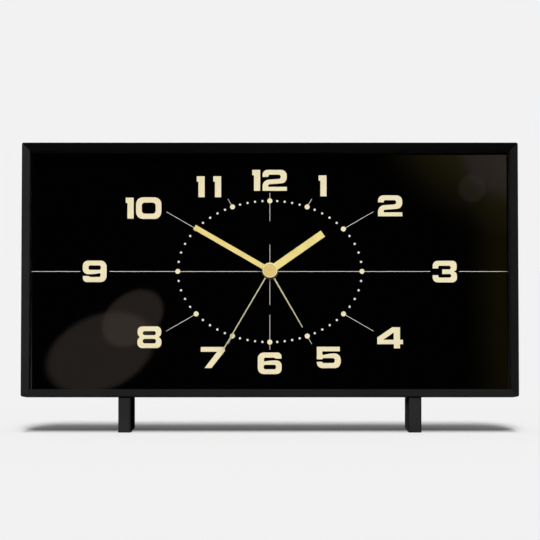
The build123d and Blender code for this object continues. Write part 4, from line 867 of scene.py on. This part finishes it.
def make_floor():
    """Pale floor, as bright as the background where no shadow falls."""
    floor = stage_sheet("floor", FLOOR_HALF, FLOOR_HALF)
    key_up = sum(share * Vector(source).normalized().z for source, share, passed in KEY_LAMPS)
    shown = (BACKGROUND - FLOOR_GLOW) / (AMBIENT + KEY_LEVEL * key_up)
    finish = Finish("floor_pale")
    colour = seen_colour(finish.nodes, finish.links, grey(FLOOR_BOUNCE), grey(shown))
    finish.to("Base Color", colour)
    seen = seen_ray(finish.nodes, finish.links)
    finish.to("Emission Strength", finish.between(seen, 0.0, FLOOR_GLOW, start=0.0, end=1.0))
    finish.constant(Roughness=1.0, Specular_IOR_Level=0.0, Emission_Color=grey(1.0))
    finish.material.cycles.emission_sampling = "NONE"
    floor.data.materials.append(finish.material)
    return floor


def soft_oval(finish, centre, half, edge, tilt=0.0):
    """1 inside an oval of the card, fading to 0 at its rim over that share of it."""
    mapping = finish.nodes.new("ShaderNodeMapping")
    mapping.vector_type = "TEXTURE"
    mapping.inputs["Location"].default_value = (centre[0], centre[1], 0.0)
    mapping.inputs["Scale"].default_value = (half[0], half[1], 1.0)
    mapping.inputs["Rotation"].default_value = (0.0, 0.0, math.radians(tilt))
    finish.links.new(finish.place, mapping.inputs["Vector"])
    ball = finish.nodes.new("ShaderNodeTexGradient")
    ball.gradient_type = "SPHERICAL"
    finish.links.new(mapping.outputs["Vector"], ball.inputs["Vector"])
    fade = finish.nodes.new("ShaderNodeMapRange")
    fade.interpolation_type = "SMOOTHSTEP"
    fade.inputs["From Max"].default_value = edge
    finish.links.new(ball.outputs["Fac"], fade.inputs["Value"])
    return fade.outputs["Result"]


def card_finish(spread):
    """Black card with soft lamps on it, its own edge fading out."""
    finish = Finish("card_black")
    total = None
    for centre, half, tilt, light, softness in CARD_GLOWS:
        place = [spread * value * MM for value in centre]
        size = [spread * value * MM for value in half]
        glow = finish.nodes.new("ShaderNodeVectorMath")
        glow.operation = "MULTIPLY_ADD"
        glow.inputs[1].default_value = light
        finish.links.new(soft_oval(finish, place, size, softness, tilt), glow.inputs[0])
        if total is not None:
            finish.links.new(total, glow.inputs[2])
        total = glow.outputs["Vector"]
    finish.to("Emission Color", total)
    finish.constant(Base_Color=grey(0.0), Roughness=1.0, Specular_IOR_Level=0.0,
                    Emission_Strength=1.0)
    card_half = (CARD_HALF_WIDTH, CARD_HALF_HEIGHT)
    finish.to("Alpha", soft_oval(finish, (0.0, 0.0), card_half, CARD_FADE))
    finish.material.cycles.emission_sampling = "NONE"
    return finish.material


def make_card(camera_place):
    """The dark card where the dial, seen from the camera, mirrors it; only mirrors see it.

    The bezel is kept out of mirrors, so that the card's lamps reach the dial's edges as on a lens.
    """
    NODES["bezel"].visible_glossy = False
    dial = on_face(0.0, 0.0, face_distance("dial"))
    look = (dial - camera_place).normalized()
    mirrored = look.reflect(BACK)
    card = stage_sheet("dark_card", CARD_HALF_WIDTH, CARD_HALF_HEIGHT)
    card.location = dial + mirrored * CARD_AWAY
    card.rotation_euler = mirrored.to_track_quat("Z", "Y").to_euler()
    spread = 1 + CARD_AWAY / (dial - camera_place).length
    card.data.materials.append(card_finish(spread))
    card.visible_camera = False
    card.visible_diffuse = False
    card.visible_transmission = False
    card.visible_shadow = False


def make_camera():
    """Level camera at the photograph's place; returns where it stands."""
    front = on_face(0.0, 0.0, face_distance("bezel"))
    lens = bpy.data.cameras.new("camera")
    lens.sensor_width = SENSOR
    lens.lens = FRONT_PIXELS_PER_METRE * CAMERA_DISTANCE * SENSOR / IMAGE_SIZE
    lens.clip_end = 4 * FLOOR_HALF
    camera = bpy.data.objects.new("camera", lens)
    camera.location = (CAMERA_SIDE, front.y - CAMERA_DISTANCE, CAMERA_HEIGHT)
    camera.rotation_euler = (math.pi / 2, 0.0, 0.0)
    bpy.context.scene.collection.objects.link(camera)
    bpy.context.scene.camera = camera
    return camera.location.copy()


with open("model.json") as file:
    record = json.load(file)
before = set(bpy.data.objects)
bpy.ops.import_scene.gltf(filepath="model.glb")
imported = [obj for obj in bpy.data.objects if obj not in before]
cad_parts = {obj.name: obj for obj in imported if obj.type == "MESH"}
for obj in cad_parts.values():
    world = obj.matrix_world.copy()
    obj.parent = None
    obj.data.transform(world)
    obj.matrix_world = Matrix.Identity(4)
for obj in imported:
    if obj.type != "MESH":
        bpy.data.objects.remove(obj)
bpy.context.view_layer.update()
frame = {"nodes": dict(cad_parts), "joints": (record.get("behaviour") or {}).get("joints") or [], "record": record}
NODES = frame["nodes"]
RECORD = frame["record"]
TURN = next(joint for joint in frame["joints"] if joint["name"] == "second_turn")
AXLE = Vector(TURN["pos_m"])
BACK = Vector(TURN["axis"]).normalized()
RIGHT = Vector((1.0, 0.0, 0.0))
UP = RIGHT.cross(BACK)

bpy.context.scene.view_settings.view_transform = "Standard"
FINISHES = make_finishes()
dress_nodes(FINISHES)
cover_screws(FINISHES["screw_steel"])
BEHIND_LENS = print_dial() + [NODES[name] for name in DIAL_NODES]
FEET = [NODES[name] for name in FOOT_NODES]
make_world()
light_studio(make_floor(), BEHIND_LENS, FEET)
make_card(make_camera())
